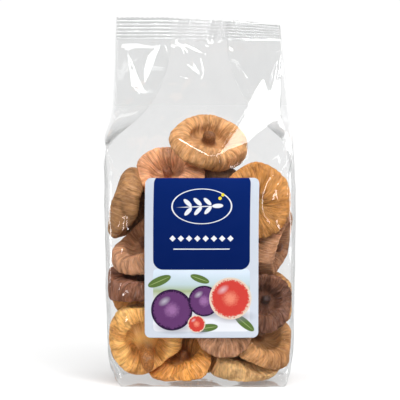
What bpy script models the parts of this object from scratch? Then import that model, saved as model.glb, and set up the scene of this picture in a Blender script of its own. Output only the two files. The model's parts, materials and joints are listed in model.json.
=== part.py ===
"""A clear side-gusset bag of dried figs, standing on its folded bottom, with a paper label on its front.

Run with: blender --background --python part.py
Metres, +Z up. The bag stands on Z = 0 with the origin under its middle, and its label faces -Y.
"""

import math

import bmesh
import bpy
import numpy as np

MM = 0.001

# The film, in millimetres. Its real thickness is about 0.05; WALL is what a solid can carry.
WALL = 0.4
LAYER_STEP = 0.7
SEAL_Z = 211.0
SEAL_HEIGHT = 15.0
SEAL_LEAN_LEFT = 8.0
SEAL_LEAN_RIGHT = 48.0
BACK_SEAM_HALF = 5.0
BACK_SEAM_RISE = 0.5
PANEL_POWER = 2.6

# The bag's shape by height: corner crease to the left and right, half depth at the creases, crown of
# the front panel, how far the side folds stand out (+) or tuck in (-), crown of the back panel, which
# sinks in over the fruit, and how far the row is turned about the upright axis, in degrees.
PROFILE_COLUMNS = ("z", "left", "right", "depth", "crown", "side", "back", "twist")
PROFILE = (
    (0.0, 50.8, 53.4, 27.5, 0.0, 0.0, 0.0, 0.0),
    (2.0, 52.2, 54.6, 28.5, 0.3, 0.3, 0.3, 0.0),
    (13.0, 54.8, 55.8, 28.5, 2.5, 2.6, 2.5, 0.0),
    (30.0, 55.6, 56.2, 28.5, 4.2, 3.0, 4.2, 0.0),
    (55.0, 56.0, 56.5, 28.5, 5.0, 3.4, 5.0, 0.0),
    (85.0, 56.2, 56.7, 28.5, 5.0, 3.6, 5.0, 0.0),
    (110.0, 56.6, 56.8, 28.5, 4.8, 3.6, 4.0, 0.3),
    (126.0, 57.0, 56.6, 28.0, 4.2, 3.2, 0.0, 1.0),
    (138.0, 58.2, 56.4, 26.2, 3.6, 1.6, -5.0, 2.0),
    (150.0, 58.4, 55.4, 23.6, 3.0, -5.0, -6.0, 3.2),
    (162.0, 54.6, 53.2, 20.0, 2.4, -15.0, -3.6, 4.2),
    (176.0, 53.0, 52.0, 14.6, 1.8, -25.0, 0.0, 5.0),
    (190.0, 52.6, 51.5, 9.0, 1.2, -31.0, 0.6, 5.5),
    (202.0, 52.2, 51.0, 4.2, 0.6, -33.5, 0.6, 5.5),
    (211.0, 52.0, 50.6, 1.05, 0.0, -34.0, 0.0, 5.5),
    (226.0, 51.6, 50.0, 1.05, 0.0, -34.0, 0.0, 5.5),
)
CORNER_RADIUS = 10.0
CORNER_NEAR_FLOOR = 0.45
CORNER_FULL = 14.0
CORNER_FADES = 124.0
CORNER_GONE = 150.0
RING_HEIGHTS = (
    0.0, 2.0, 7.0, 13.0, 30.0, 55.0, 85.0, 110.0, 126.0, 138.0, 150.0, 162.0,
    176.0, 190.0, 202.0, 211.0, 218.5, 226.0,
)
PANEL_STEPS = 12
SIDE_STEPS = 4
BOTTOM_FOLD_SHARE = 0.45

# The label, in millimetres.
LABEL_WIDTH = 69.0
LABEL_HEIGHT = 97.2
LABEL_X = 0.9
LABEL_Z = 79.5
LABEL_CORNER = 3.6
LABEL_THICKNESS = 0.25
LABEL_GAP = 0.3

# One fig, as shares of its half width across and of its half thickness along its stem axis,
# from the stem's tip over the rim to the eye on the far side.
FIG_PROFILE = (
    (0.085, 0.60),
    (0.15, 0.05),
    (0.30, 0.12),
    (0.52, 0.78),
    (0.75, 1.00),
    (0.93, 0.66),
    (1.00, 0.00),
    (0.92, -0.64),
    (0.68, -0.96),
    (0.33, -0.86),
    (0.09, -0.62),
)
STEM_TIP = 0.66
EYE_DEPTH = -0.68
FIG_SEGMENTS = 20
FIG_GAP = 0.34
FIG_SOFTNESS = 0.9
WALL_GAP = 0.75
SETTLE_ROUNDS = 300
SQUASH = 3.6
HOLD_SEEN = 0.12
HOLD_HIDDEN = 0.02
SEEN_FIGS = 13
DIRECTIONS = 420

# Every fig: place of its middle (x, y, z), direction of its stem axis, width, thickness, how far the
# stem is bent over (in the fig's own plane, right and up), and colour. The first rows are those that
# show in front, the next ones lie behind the label, and the last ones fill the back.
FIGS = (
    ("top", (1.0, -3.0, 138.5), (0.28, -0.54, 0.79), 51.0, 20.0, (0.5, 0.0), "tan"),
    ("shoulder_left", (-22.0, -8.0, 127.0), (-0.30, -0.62, 0.72), 46.0, 20.0, (0.0, 0.4), "brown"),
    ("edge_left", (-43.5, -4.0, 108.0), (0.95, -0.10, -0.30), 47.0, 18.0, (0.3, 0.0), "tan"),
    ("eye_right", (34.0, -19.0, 106.0), (-0.12, 0.97, 0.12), 49.0, 19.0, (0.0, 0.3), "amber"),
    ("upright_right", (47.0, -4.0, 75.0), (0.92, -0.32, -0.24), 52.0, 19.0, (0.4, 0.0), "brown"),
    ("mid_left", (-37.0, -15.0, 85.0), (-0.42, -0.62, 0.66), 44.0, 20.0, (0.2, 0.3), "brown"),
    ("low_left", (-36.0, -10.0, 57.0), (0.08, -0.32, 0.94), 47.0, 20.0, (0.0, 0.0), "dark"),
    ("stem_left", (-33.0, -19.0, 24.5), (0.05, -0.95, -0.22), 49.0, 20.0, (0.2, -1.6), "gold"),
    ("floor_middle", (-7.0, -10.0, 12.0), (-0.28, -0.30, 0.91), 46.0, 18.0, (0.3, 0.2), "amber"),
    ("eye_low", (18.0, -19.0, 36.0), (0.05, 0.86, -0.42), 44.0, 17.0, (0.0, 0.0), "brown"),
    ("floor_right", (20.0, -9.0, 10.5), (0.10, -0.26, 0.96), 49.0, 18.0, (0.4, 0.0), "pale"),
    ("low_right", (40.0, -14.0, 28.0), (0.30, -0.66, 0.68), 46.0, 20.0, (-0.5, 0.2), "tan"),
    ("dark_right", (36.0, -19.0, 49.0), (0.16, -0.94, 0.28), 39.0, 17.0, (0.3, 0.3), "dark"),
    ("label_high", (6.0, -20.0, 90.0), (-0.10, 0.95, 0.25), 44.0, 17.0, (0.3, 0.0), "tan"),
    ("label_low", (-8.0, -18.0, 56.0), (0.45, -0.86, 0.20), 42.0, 17.0, (0.0, 0.3), "tan"),
    ("back_floor_left", (-34.0, 14.0, 20.0), (-0.30, 0.88, 0.30), 46.0, 20.0, (0.3, 0.3), "tan"),
    ("back_floor_middle", (2.0, 16.0, 22.0), (0.20, 0.90, -0.20), 46.0, 19.0, (0.0, 0.6), "gold"),
    ("back_floor_right", (37.0, 15.0, 23.0), (0.25, 0.92, 0.20), 46.0, 19.0, (0.4, 0.0), "brown"),
    ("back_low_left", (-32.0, 15.0, 56.0), (-0.20, -0.93, 0.25), 46.0, 19.0, (0.0, 0.3), "amber"),
    ("back_low_middle", (10.0, 16.0, 56.0), (0.10, 0.95, 0.25), 46.0, 19.0, (0.3, 0.3), "brown"),
    ("back_edge_right", (47.0, 15.0, 48.0), (0.85, 0.45, 0.20), 42.0, 17.0, (0.3, 0.0), "tan"),
    ("back_mid_left", (-27.0, 16.0, 92.0), (-0.15, 0.95, 0.20), 46.0, 18.0, (0.0, -0.6), "tan"),
    ("back_mid_right", (20.0, 15.0, 92.0), (0.20, -0.92, 0.30), 46.0, 19.0, (0.3, 0.0), "dark"),
    ("back_top", (-6.0, 13.0, 115.0), (-0.20, 0.55, 0.80), 43.0, 18.0, (0.0, 0.4), "brown"),
)
FIG_COLOURS = {
    "gold": (0.55, 0.29, 0.085),
    "amber": (0.50, 0.22, 0.055),
    "pale": (0.52, 0.33, 0.15),
    "tan": (0.40, 0.20, 0.085),
    "brown": (0.25, 0.115, 0.06),
    "dark": (0.12, 0.045, 0.025),
}


def profile(name, z):
    """One column of PROFILE at height z, joined by smooth steps that never overshoot."""
    column = PROFILE_COLUMNS.index(name)
    heights = np.array([row[0] for row in PROFILE])
    values = np.array([row[column] for row in PROFILE])
    slopes = np.gradient(values, heights)
    z = np.clip(np.asarray(z, float), heights[0], heights[-1])
    k = np.clip(np.searchsorted(heights, z, side="right") - 1, 0, len(heights) - 2)
    span = heights[k + 1] - heights[k]
    t = (z - heights[k]) / span
    rise = 3 * t**2 - 2 * t**3
    bend = slopes[k] * span * (t**3 - 2 * t**2 + t) + slopes[k + 1] * span * (t**3 - t**2)
    low = np.minimum(values[k], values[k + 1])
    high = np.maximum(values[k], values[k + 1])
    return np.clip(values[k] + (values[k + 1] - values[k]) * rise + bend, low, high)


def panel_depth(x, z, crown="crown"):
    """How far the front panel, or with crown="back" the back one, stands from the middle plane."""
    x = np.asarray(x, float)
    reach = np.where(x < 0, profile("left", z), profile("right", z))
    share = np.clip(np.abs(x) / reach, 0, 1)
    return profile("depth", z) + profile(crown, z) * (1 - share**PANEL_POWER)


def ease_between(low, high, value):
    t = np.clip((np.asarray(value, float) - low) / (high - low), 0, 1)
    return t * t * (3 - 2 * t)


def corner_radius(z):
    """Radius of the bag's four upright corners, which are round in the belly and creased in the head."""
    foot = CORNER_NEAR_FLOOR + (1 - CORNER_NEAR_FLOOR) * ease_between(0, CORNER_FULL, z)
    return CORNER_RADIUS * foot * (1 - ease_between(CORNER_FADES, CORNER_GONE, z))


def round_corner(x, y, z, on_panel):
    """A point of the film's square outline, moved on to the rounded corner next to it."""
    radius = float(corner_radius(z))
    corner = float(profile("left" if x < 0 else "right", z))
    depth = float(profile("depth", z))
    along = abs(x) - corner if on_panel else depth - abs(y)
    if radius < 0.3 or abs(along) >= radius:
        return x, y
    angle = (along + radius) / (2 * radius) * math.pi / 2
    new_x = corner - radius + radius * math.sin(angle) + (0.0 if on_panel else abs(x) - corner)
    new_y = depth - radius + radius * math.cos(angle) + (abs(y) - depth if on_panel else 0.0)
    return math.copysign(new_x, x), math.copysign(new_y, y)


def turn(x, y, z, way=1):
    """A point turned with the bag's head about the upright axis, or turned back with way=-1."""
    angle = way * np.radians(profile("twist", z))
    return x * np.cos(angle) - y * np.sin(angle), x * np.sin(angle) + y * np.cos(angle)


def fold_sharpness(stand):
    """0 where a side bulges in a curve, 1 where it is tucked in to a sharp fold."""
    return np.clip(-np.asarray(stand, float) / 12.0, 0, 1)


def side_reach(side, y, z):
    """How far the side stands out from the bag's middle plane at depth y."""
    corner = profile("left" if side < 0 else "right", z)
    stand = profile("side", z)
    sharp = fold_sharpness(stand)
    share = np.clip(np.abs(y) / profile("depth", z), 0, 1)
    return corner + stand * ((1 - sharp) * (1 - share**2) + sharp * (1 - share))


def side_strip(side, z, towards_back):
    """The film's middle line across one side, from the front crease to the back one or the other way."""
    corner = float(profile("left" if side < 0 else "right", z))
    depth = float(profile("depth", z))
    stand = float(profile("side", z))
    half_layer = LAYER_STEP / 2
    sharp = float(fold_sharpness(stand))
    outer_y = depth - LAYER_STEP
    points = [(corner, -depth), (corner + 0.6 * half_layer * sharp, -(depth - half_layer))]
    for share in (0.0, 0.12, *(i / SIDE_STEPS for i in range(1, SIDE_STEPS))):
        lift = (1 - sharp) * (1 - (1 - share) ** 2) + sharp * share
        points.append((corner + stand * lift, -(outer_y + (half_layer - outer_y) * share)))
    front_half = points + [(corner + stand, -half_layer)]
    middle = [(corner + stand - 0.6 * half_layer * sharp, 0.0)]
    back_half = [(x, -y) for x, y in reversed(front_half)]
    strip = [(side * x, y) for x, y in front_half + middle + back_half]
    return strip if towards_back else strip[::-1]


def panel_stations():
    """Shares across a panel, left to right, with close pairs where the back one has its seam."""
    even = [2 * i / PANEL_STEPS - 1 for i in range(1, PANEL_STEPS)] + [-0.92, 0.92]
    seam = [BACK_SEAM_HALF / 52.0, (BACK_SEAM_HALF - 0.8) / 52.0]
    return sorted(even + seam + [-s for s in seam])


def ring(z):
    """One closed line of the film's middle at height z: front, right side, back, left side."""
    left = float(profile("left", z))
    right = float(profile("right", z))
    front, back = [], []
    for share in panel_stations():
        x = share * (right if share > 0 else left)
        seam = abs(share) * 52.0 <= BACK_SEAM_HALF - 0.5
        front.append((x, -float(panel_depth(x, z))))
        back.append((x, float(panel_depth(x, z, "back")) + (BACK_SEAM_RISE if seam else 0.0)))
    points = [round_corner(x, y, z, True) for x, y in front]
    points += [round_corner(x, y, z, False) for x, y in side_strip(1, z, True)]
    points += [round_corner(x, y, z, True) for x, y in reversed(back)]
    points += [round_corner(x, y, z, False) for x, y in side_strip(-1, z, False)]
    return [(*turn(x, y, z), z) for x, y in points]


def lean_seal(point):
    """Tips the flat seal back, more towards its right end, about its own lower edge."""
    x, y, z = point
    above = z - SEAL_Z
    if above <= 0:
        return point
    share = min(1.0, max(0.0, (x + 52.0) / 103.0))
    lean = math.radians(SEAL_LEAN_LEFT + (SEAL_LEAN_RIGHT - SEAL_LEAN_LEFT) * share**1.6)
    hinge = x * math.tan(math.radians(float(profile("twist", SEAL_Z))))
    layer = y - hinge
    return (x, hinge + layer * math.cos(lean) + above * math.sin(lean),
            SEAL_Z + above * math.cos(lean) - layer * math.sin(lean))


def film_middle():
    """The film's middle surface as rows of points, from the fold under the bag to the open top edge."""
    low = ring(RING_HEIGHTS[0])
    fold = [(x * BOTTOM_FOLD_SHARE, 0.0, WALL / 2) for x, _, _ in low]
    half_way = [(x * (1 + BOTTOM_FOLD_SHARE) / 2, y / 2, WALL / 2) for x, y, _ in low]
    foot = [(x, y, WALL / 2) for x, y, _ in low]
    rows = [fold, half_way, foot]
    for z in RING_HEIGHTS[1:]:
        rows.append([lean_seal(p) for p in ring(z)])
    return np.array(rows)


def film_normals(rows):
    """Outward normals of the grid of points, closed round each row."""
    along = np.roll(rows, -1, axis=1) - np.roll(rows, 1, axis=1)
    up = np.gradient(rows, axis=0)
    normals = np.cross(along, up)
    lengths = np.linalg.norm(normals, axis=2, keepdims=True)
    normals = normals / np.maximum(lengths, 1e-9)
    normals[0] = (0, 0, -1)
    normals[1] = (0, 0, -1)
    foot = normals[2] * (1, 1, 0)
    foot /= np.maximum(np.linalg.norm(foot, axis=1, keepdims=True), 1e-9)
    normals[2] = foot + (0, 0, -1)
    return normals


def make_object(name, points, faces, material, smooth_angle=None):
    """A mesh object in metres from points in millimetres."""
    mesh = bpy.data.meshes.new(name)
    mesh.from_pydata([tuple(float(c) * MM for c in p) for p in points], [], faces)
    mesh.materials.append(material)
    if smooth_angle is not None:
        mesh.shade_smooth()
        mesh.set_sharp_from_angle(angle=math.radians(smooth_angle))
    made = bpy.data.objects.new(name, mesh)
    bpy.context.scene.collection.objects.link(made)
    return made


def weld(obj):
    """Joins points that coincide, as along the fold under the bag, and drops faces that collapse."""
    work = bmesh.new()
    work.from_mesh(obj.data)
    bmesh.ops.remove_doubles(work, verts=work.verts, dist=0.02 * MM)
    bmesh.ops.dissolve_degenerate(work, edges=work.edges, dist=0.001 * MM)
    bmesh.ops.triangulate(work, faces=work.faces)
    work.to_mesh(obj.data)
    work.free()


def material(name, colour, roughness, alpha=1.0):
    made = bpy.data.materials.new(name)
    made.use_nodes = True
    shader = made.node_tree.nodes["Principled BSDF"]
    shader.inputs["Base Color"].default_value = (*colour, 1.0)
    shader.inputs["Roughness"].default_value = roughness
    shader.inputs["Metallic"].default_value = 0.0
    shader.inputs["Alpha"].default_value = alpha
    return made


def build_film():
    """The bag: one tube of film with tucked sides, folded shut below and pressed flat at the top."""
    rows = film_middle()
    normals = film_normals(rows)
    outer = rows + normals * (WALL / 2)
    inner = rows - normals * (WALL / 2)
    count, width = rows.shape[:2]
    points = [*outer.reshape(-1, 3), *inner.reshape(-1, 3)]
    faces = []
    for i in range(count - 1):
        for j in range(width):
            a = i * width + j
            b = i * width + (j + 1) % width
            faces.append((a, b, b + width, a + width))
            c, d = a + count * width, b + count * width
            faces.append((d, c, c + width, d + width))
    top = (count - 1) * width
    for j in range(width):
        a, b = top + j, top + (j + 1) % width
        faces.append((a, b, b + count * width, a + count * width))
    film = make_object("film_bag", points, faces, material("clear_film", (0.9, 0.9, 0.9), 0.08, 0.2))
    weld(film)
    film.data.shade_smooth()
    film.data.set_sharp_from_angle(angle=math.radians(35))


def label_lines(size, corner, steps):
    """Grid lines across the label: close together in the rounded corners, even between them."""
    half = size / 2
    inner = np.linspace(-(half - corner), half - corner, steps + 1)
    return np.array([-half, -(half - 0.4 * corner), *inner, half - 0.4 * corner, half])


def build_label():
    """The paper label, which follows the front panel a little way off it."""
    across = label_lines(LABEL_WIDTH, LABEL_CORNER, 6)
    upward = label_lines(LABEL_HEIGHT, LABEL_CORNER, 8)
    front, back = [], []
    for dz in upward:
        for dx in across:
            px, pz = dx, dz
            cx = LABEL_WIDTH / 2 - LABEL_CORNER
            cz = LABEL_HEIGHT / 2 - LABEL_CORNER
            ox, oz = abs(dx) - cx, abs(dz) - cz
            if ox > 0 and oz > 0 and math.hypot(ox, oz) > LABEL_CORNER:
                pull = LABEL_CORNER / math.hypot(ox, oz)
                px = math.copysign(cx + ox * pull, dx)
                pz = math.copysign(cz + oz * pull, dz)
            x, z = LABEL_X + px, LABEL_Z + pz
            near = -float(panel_depth(x, z)) - WALL / 2 - LABEL_GAP
            back.append((*turn(x, near, z), z))
            front.append((*turn(x, near - LABEL_THICKNESS, z), z))
    width, height = len(across), len(upward)
    total = width * height
    faces = []
    for i in range(height - 1):
        for j in range(width - 1):
            a = i * width + j
            faces.append((a, a + 1, a + 1 + width, a + width))
            faces.append((a + total + width, a + 1 + total + width, a + 1 + total, a + total))
    edge = [j for j in range(width)]
    edge += [i * width + width - 1 for i in range(1, height)]
    edge += [(height - 1) * width + j for j in range(width - 2, -1, -1)]
    edge += [i * width for i in range(height - 2, 0, -1)]
    for a, b in zip(edge, edge[1:] + edge[:1]):
        faces.append((b, a, a + total, b + total))
    make_object("label", front + back, faces, material("label_paper", (0.02, 0.05, 0.25), 0.45))


def fig_frame(axis):
    """Two directions in the fig's own plane, right and up as seen along its axis, and the axis."""
    n = np.array(axis, float)
    n /= np.linalg.norm(n)
    up = np.array((0.0, 0.0, 1.0)) - n * n[2]
    if np.linalg.norm(up) < 0.35:
        up = np.array((0.0, 1.0, 0.0)) - n * n[1]
    up /= np.linalg.norm(up)
    return np.cross(up, n), up, n


def fig_points(number, axis, width, thickness, stem):
    """The fig's points about its own middle: the tip of the stem, the rings, and the eye."""
    draw = np.random.default_rng(100 + number)
    lobes = [(2, 0.045), (3, 0.035), (5, 0.018), (7, 0.010)]
    phases = draw.uniform(0, 2 * math.pi, (len(lobes), 2))
    sizes = draw.uniform(0.5, 1.2, (len(lobes), 2))
    wedge_phase, bend_phase = draw.uniform(0, 2 * math.pi, 2)
    wedge, bend = draw.uniform(0.08, 0.22), draw.uniform(-0.10, 0.10)
    half, rise = width / 2, thickness / 2
    angles = np.arange(FIG_SEGMENTS) * 2 * math.pi / FIG_SEGMENTS
    rows = []
    for k, (share, height) in enumerate(FIG_PROFILE):
        lobe = np.ones(FIG_SEGMENTS)
        puff = np.ones(FIG_SEGMENTS)
        for (order, size), phase, scale in zip(lobes, phases, sizes):
            lobe += size * scale[0] * np.cos(order * angles + phase[0]) * share
            puff += 1.6 * size * scale[1] * np.cos(order * angles + phase[1]) * share
        puff += wedge * np.cos(angles - wedge_phase) * share
        radius = half * share * lobe
        x, y = radius * np.cos(angles), radius * np.sin(angles)
        z = rise * height * puff + bend * half * share**2 * np.cos(2 * angles - bend_phase)
        over = max(0.0, 1 - k / 2.0)
        rows.append(np.stack([x + stem[0] * 4 * over, y + stem[1] * 4 * over, z], axis=1))
    bent = math.hypot(*stem)
    for k in range(2):
        rows[k][:, 2] += rise * 0.35 * bent * (1 - k / 2.0)
    tip = np.array([[stem[0] * 5.2, stem[1] * 5.2, rise * (STEM_TIP + 0.32 * bent)]])
    eye = np.array([[0.0, 0.0, rise * EYE_DEPTH]])
    local = np.concatenate([tip, *rows, eye])
    right, up, n = fig_frame(axis)
    return local @ np.array([right, up, n])


def fig_faces():
    """Triangles at the stem's tip and at the eye, and four-sided faces between the rings."""
    rings = len(FIG_PROFILE)
    last = 1 + rings * FIG_SEGMENTS
    faces = []
    for j in range(FIG_SEGMENTS):
        k = (j + 1) % FIG_SEGMENTS
        faces.append((0, 1 + j, 1 + k))
        faces.append((last, last - FIG_SEGMENTS + k, last - FIG_SEGMENTS + j))
        for i in range(rings - 1):
            a, b = 1 + i * FIG_SEGMENTS + j, 1 + i * FIG_SEGMENTS + k
            faces.append((a, a + FIG_SEGMENTS, b + FIG_SEGMENTS, b))
    return faces


def sphere_directions(count):
    """Directions spread evenly over the sphere, each followed later by its opposite."""
    k = np.arange(count) + 0.5
    z = 1 - k / count
    turn = k * math.pi * (3 - math.sqrt(5))
    flat = np.sqrt(1 - z**2)
    half = np.stack([flat * np.cos(turn), flat * np.sin(turn), z], axis=1)
    return np.concatenate([half, -half])


def closest_facing(reach, middles, directions):
    """For every pair of figs, the widest gap between them along any direction, and that direction."""
    count = len(directions) // 2
    opposite = np.concatenate([reach[:, count:], reach[:, :count]], axis=1)
    apart = middles @ directions.T
    for a in range(len(middles)):
        gaps = apart[a + 1:] - apart[a] - reach[a] - opposite[a + 1:]
        best = gaps.argmax(axis=1)
        for step, k in enumerate(best):
            yield a, a + 1 + step, gaps[step, k], directions[k]


def settle(shapes, starts):
    """Lets the figs sink and slide apart, each held softly near its place, until they hardly overlap."""
    directions = sphere_directions(DIRECTIONS)
    reach = np.array([(shape @ directions.T).max(axis=0) for shape in shapes])
    half_low = np.array([shape.min(axis=0) for shape in shapes])
    half_high = np.array([shape.max(axis=0) for shape in shapes])
    middles = starts.copy()
    hold = np.where(np.arange(len(starts)) < SEEN_FIGS, HOLD_SEEN, HOLD_HIDDEN)[:, None]
    for _ in range(SETTLE_ROUNDS):
        push = np.zeros_like(middles)
        for a, b, gap, way in closest_facing(reach, middles, directions):
            if gap < -SQUASH:
                push[a] += way * (SQUASH + gap) * 0.5
                push[b] -= way * (SQUASH + gap) * 0.5
        middles += 0.5 * push + hold * (starts - middles)
        z = middles[:, 2]
        front = panel_depth(middles[:, 0] * 0.9, z) - WALL / 2 - WALL_GAP
        back = panel_depth(middles[:, 0] * 0.9, z, "back") - WALL / 2 - WALL_GAP
        wide_left = side_reach(-1, 0, z) - WALL / 2 - WALL_GAP
        wide_right = side_reach(1, 0, z) - WALL / 2 - WALL_GAP
        give = 1.2
        middles[:, 0] = np.clip(middles[:, 0], -wide_left - half_low[:, 0] - give,
                                wide_right - half_high[:, 0] + give)
        middles[:, 1] = np.clip(middles[:, 1], -front - half_low[:, 1] - give,
                                back - half_high[:, 1] + give)
        middles[:, 2] = np.maximum(z, WALL + FIG_GAP - half_low[:, 2] - give / 2)
    return middles


def soft_room(room):
    """Room left to a wall, eased so that it never reaches zero and hardly changes far from the wall."""
    scaled = np.asarray(room) / FIG_SOFTNESS
    return FIG_SOFTNESS * np.where(scaled > 30, scaled, np.log1p(np.exp(np.minimum(scaled, 30))))


def hard_room(room):
    """Room left to a wall, with everything beyond the wall brought back to it."""
    return np.maximum(room, 0.0)


def press_to_corner(x, y, z, clear, ease):
    """Moves points inwards, off the bag's rounded upright corners."""
    side = np.where(x < 0, -1.0, 1.0)
    facing = np.where(y < 0, -1.0, 1.0)
    corner = np.where(x < 0, profile("left", z), profile("right", z))
    depth = profile("depth", z)
    radius = corner_radius(z)
    over_x = np.abs(x) - (corner - radius)
    over_y = np.abs(y) - (depth - radius)
    near = (over_x > 0) & (over_y > 0) & (radius > 2 * clear)
    angle = np.arctan2(over_x, over_y)
    along = radius * (angle / (math.pi / 4) - 1)
    from_x = side * (corner + np.minimum(along, 0))
    from_y = depth - np.maximum(along, 0)
    panel = np.where(y < 0, panel_depth(from_x, z), panel_depth(from_x, z, "back"))
    reach = np.where(x < 0, side_reach(-1, from_y, z), side_reach(1, from_y, z))
    bulge = np.where(along < 0, (panel - depth) * np.cos(angle), (reach - corner) * np.sin(angle))
    away = np.maximum(np.hypot(over_x, over_y), 1e-6)
    limit = radius + bulge - clear
    scale = (limit - ease(limit - away)) / away
    x = np.where(near, side * (corner - radius + over_x * scale), x)
    y = np.where(near, facing * (depth - radius + over_y * scale), y)
    return x, y


def press_to_bag(points, ease=soft_room):
    """Moves points inwards, off the film and the floor of the bag."""
    x, y, z = points.T
    clear = WALL / 2 + WALL_GAP
    floor = WALL + FIG_GAP
    z = floor + ease(z - floor)
    x, y = turn(x, y, z, -1)
    side = np.where(x < 0, -1.0, 1.0)
    reach = np.where(x < 0, side_reach(-1, y, z), side_reach(1, y, z)) - clear
    x = side * (reach - ease(reach - np.abs(x)))
    depth = np.where(y < 0, panel_depth(x, z), panel_depth(x, z, "back")) - clear
    facing = np.where(y < 0, -1.0, 1.0)
    y = facing * (depth - ease(depth - np.abs(y)))
    x, y = press_to_corner(x, y, z, clear, ease)
    x, y = turn(x, y, z)
    return np.stack([x, y, z], axis=1)


def press_together(shapes, middles):
    """Flattens each fig where it meets the bag or another fig, so that none of them overlap."""
    directions = sphere_directions(DIRECTIONS)
    world = [press_to_bag(shape + middle) for shape, middle in zip(shapes, middles)]
    centres = np.array([points.mean(axis=0) for points in world])
    reach = np.array([((p - c) @ directions.T).max(axis=0) for p, c in zip(world, centres)])
    cuts = [[] for _ in world]
    for a, b, gap, way in closest_facing(reach, centres, directions):
        if gap < FIG_GAP + 2 * FIG_SOFTNESS:
            edge_a = ((world[a] - centres[a]) @ way).max() + centres[a] @ way
            edge_b = ((world[b] - centres[b]) @ way).min() + centres[b] @ way
            middle = (edge_a + edge_b) / 2
            cuts[a].append((way, middle - FIG_GAP / 2))
            cuts[b].append((-way, -middle - FIG_GAP / 2))
    for _ in range(3):
        for k, points in enumerate(world):
            for way, limit in cuts[k]:
                room = limit - points @ way
                moved = np.where(room < 3 * FIG_SOFTNESS, soft_room(room) - room, 0.0)
                points = points - np.outer(moved, way)
            world[k] = press_to_bag(points)
    for k, points in enumerate(world):
        for _ in range(12):
            for way, limit in cuts[k]:
                over = np.maximum(points @ way - limit, 0.0)
                points = points - np.outer(over, way)
            points = press_to_bag(points, hard_room)
        world[k] = points
    return world


def build_figs():
    materials = {name: material(f"fig_{name}", colour, 0.6) for name, colour in FIG_COLOURS.items()}
    shapes = []
    for number, (_, _, axis, width, thickness, stem, _) in enumerate(FIGS):
        shapes.append(fig_points(number, axis, width, thickness, stem))
    starts = np.array([row[1] for row in FIGS])
    settled = press_together(shapes, settle(shapes, starts))
    for row, points in zip(FIGS, settled):
        make_object(f"fig_{row[0]}", points, fig_faces(), materials[row[6]], smooth_angle=60)


def main():
    for old in list(bpy.data.objects):
        bpy.data.objects.remove(old, do_unlink=True)
    build_film()
    build_label()
    build_figs()


main()
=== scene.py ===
"""Looks of the clear bag of dried figs: film, paper label, fruit, floor, light and camera."""

import json
import math

import bpy
import numpy as np
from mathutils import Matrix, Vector
from mathutils.bvhtree import BVHTree
from mathutils.geometry import delaunay_2d_cdt

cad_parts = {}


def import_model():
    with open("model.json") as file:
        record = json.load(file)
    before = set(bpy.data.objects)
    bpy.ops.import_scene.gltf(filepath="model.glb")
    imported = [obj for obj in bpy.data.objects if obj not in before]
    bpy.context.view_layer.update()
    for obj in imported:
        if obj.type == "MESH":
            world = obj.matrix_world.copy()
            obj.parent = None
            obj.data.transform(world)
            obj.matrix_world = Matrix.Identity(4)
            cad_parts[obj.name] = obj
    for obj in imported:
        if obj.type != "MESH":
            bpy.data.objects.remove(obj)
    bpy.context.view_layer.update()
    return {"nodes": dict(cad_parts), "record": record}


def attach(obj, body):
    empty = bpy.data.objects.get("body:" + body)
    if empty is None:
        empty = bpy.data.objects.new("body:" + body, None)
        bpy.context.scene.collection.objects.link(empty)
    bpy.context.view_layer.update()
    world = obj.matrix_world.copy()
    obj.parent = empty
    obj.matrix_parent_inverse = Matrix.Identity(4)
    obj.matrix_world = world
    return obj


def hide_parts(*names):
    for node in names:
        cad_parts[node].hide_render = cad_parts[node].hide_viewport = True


MM = 0.001


# Numbers that vary smoothly


def hash_unit(ix, iy, iz, seed):
    """A repeatable number from 0 to 1 for each lattice point."""
    mixed = (ix * 374761393 + iy * 668265263 + iz * 2147483647 + seed * 144665) & 0xFFFFFFFF
    mixed = ((mixed ^ (mixed >> 13)) * 1274126177) & 0xFFFFFFFF
    mixed = ((mixed ^ (mixed >> 16)) * 2246822519) & 0xFFFFFFFF
    return ((mixed ^ (mixed >> 15)) & 0xFFFF) / 65535.0


def noise(points, seed=0):
    """Smooth noise between about -1 and 1 at each point."""
    points = np.asarray(points, float)
    cell = np.floor(points).astype(np.int64)
    part = points - cell
    ease = part * part * part * (part * (part * 6 - 15) + 10)
    total = np.zeros(points.shape[:-1])
    for corner in np.ndindex(2, 2, 2):
        ix, iy, iz = np.moveaxis(cell + corner, -1, 0)
        turn = hash_unit(ix, iy, iz, seed) * 2 * math.pi
        rise = hash_unit(ix, iy, iz, seed + 71) * 2 - 1
        flat = np.sqrt(np.maximum(0, 1 - rise * rise))
        slope = np.stack([flat * np.cos(turn), flat * np.sin(turn), rise], -1)
        weight = np.prod(np.where(corner, ease, 1 - ease), axis=-1)
        total += weight * ((part - corner) * slope).sum(-1)
    return total * 1.6


def sheet_noise(across, up, seed):
    """Smooth noise over a flat sheet."""
    return noise(np.stack([across, up, np.zeros_like(across)], -1), seed)


def smoothstep(low, high, value):
    """0 below, 1 above, and an easy curve between."""
    t = np.clip((np.asarray(value, float) - low) / (high - low), 0, 1)
    return t * t * (3 - 2 * t)


def fade(low, high, value):
    """1 below, 0 above, and an easy curve between."""
    return 1 - smoothstep(low, high, value)


def bell(value, middle, half):
    """A smooth hump of height 1 round a middle."""
    return np.exp(-((value - middle) / half) ** 2)


def hermite(knots, values, samples):
    """Values along the first axis, joined by cubic pieces."""
    slopes = np.gradient(values, knots, axis=0)
    k = np.clip(np.searchsorted(knots, samples, side="right") - 1, 0, len(knots) - 2)
    shape = (len(samples),) + (1,) * (values.ndim - 1)
    span = (knots[k + 1] - knots[k]).reshape(shape)
    t = (samples.reshape(shape) - knots[k].reshape(shape)) / span
    return (values[k] * (1 - 3 * t**2 + 2 * t**3) + values[k + 1] * (3 * t**2 - 2 * t**3)
            + slopes[k] * span * (t**3 - 2 * t**2 + t) + slopes[k + 1] * span * (t**3 - t**2))


# Meshes


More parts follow.
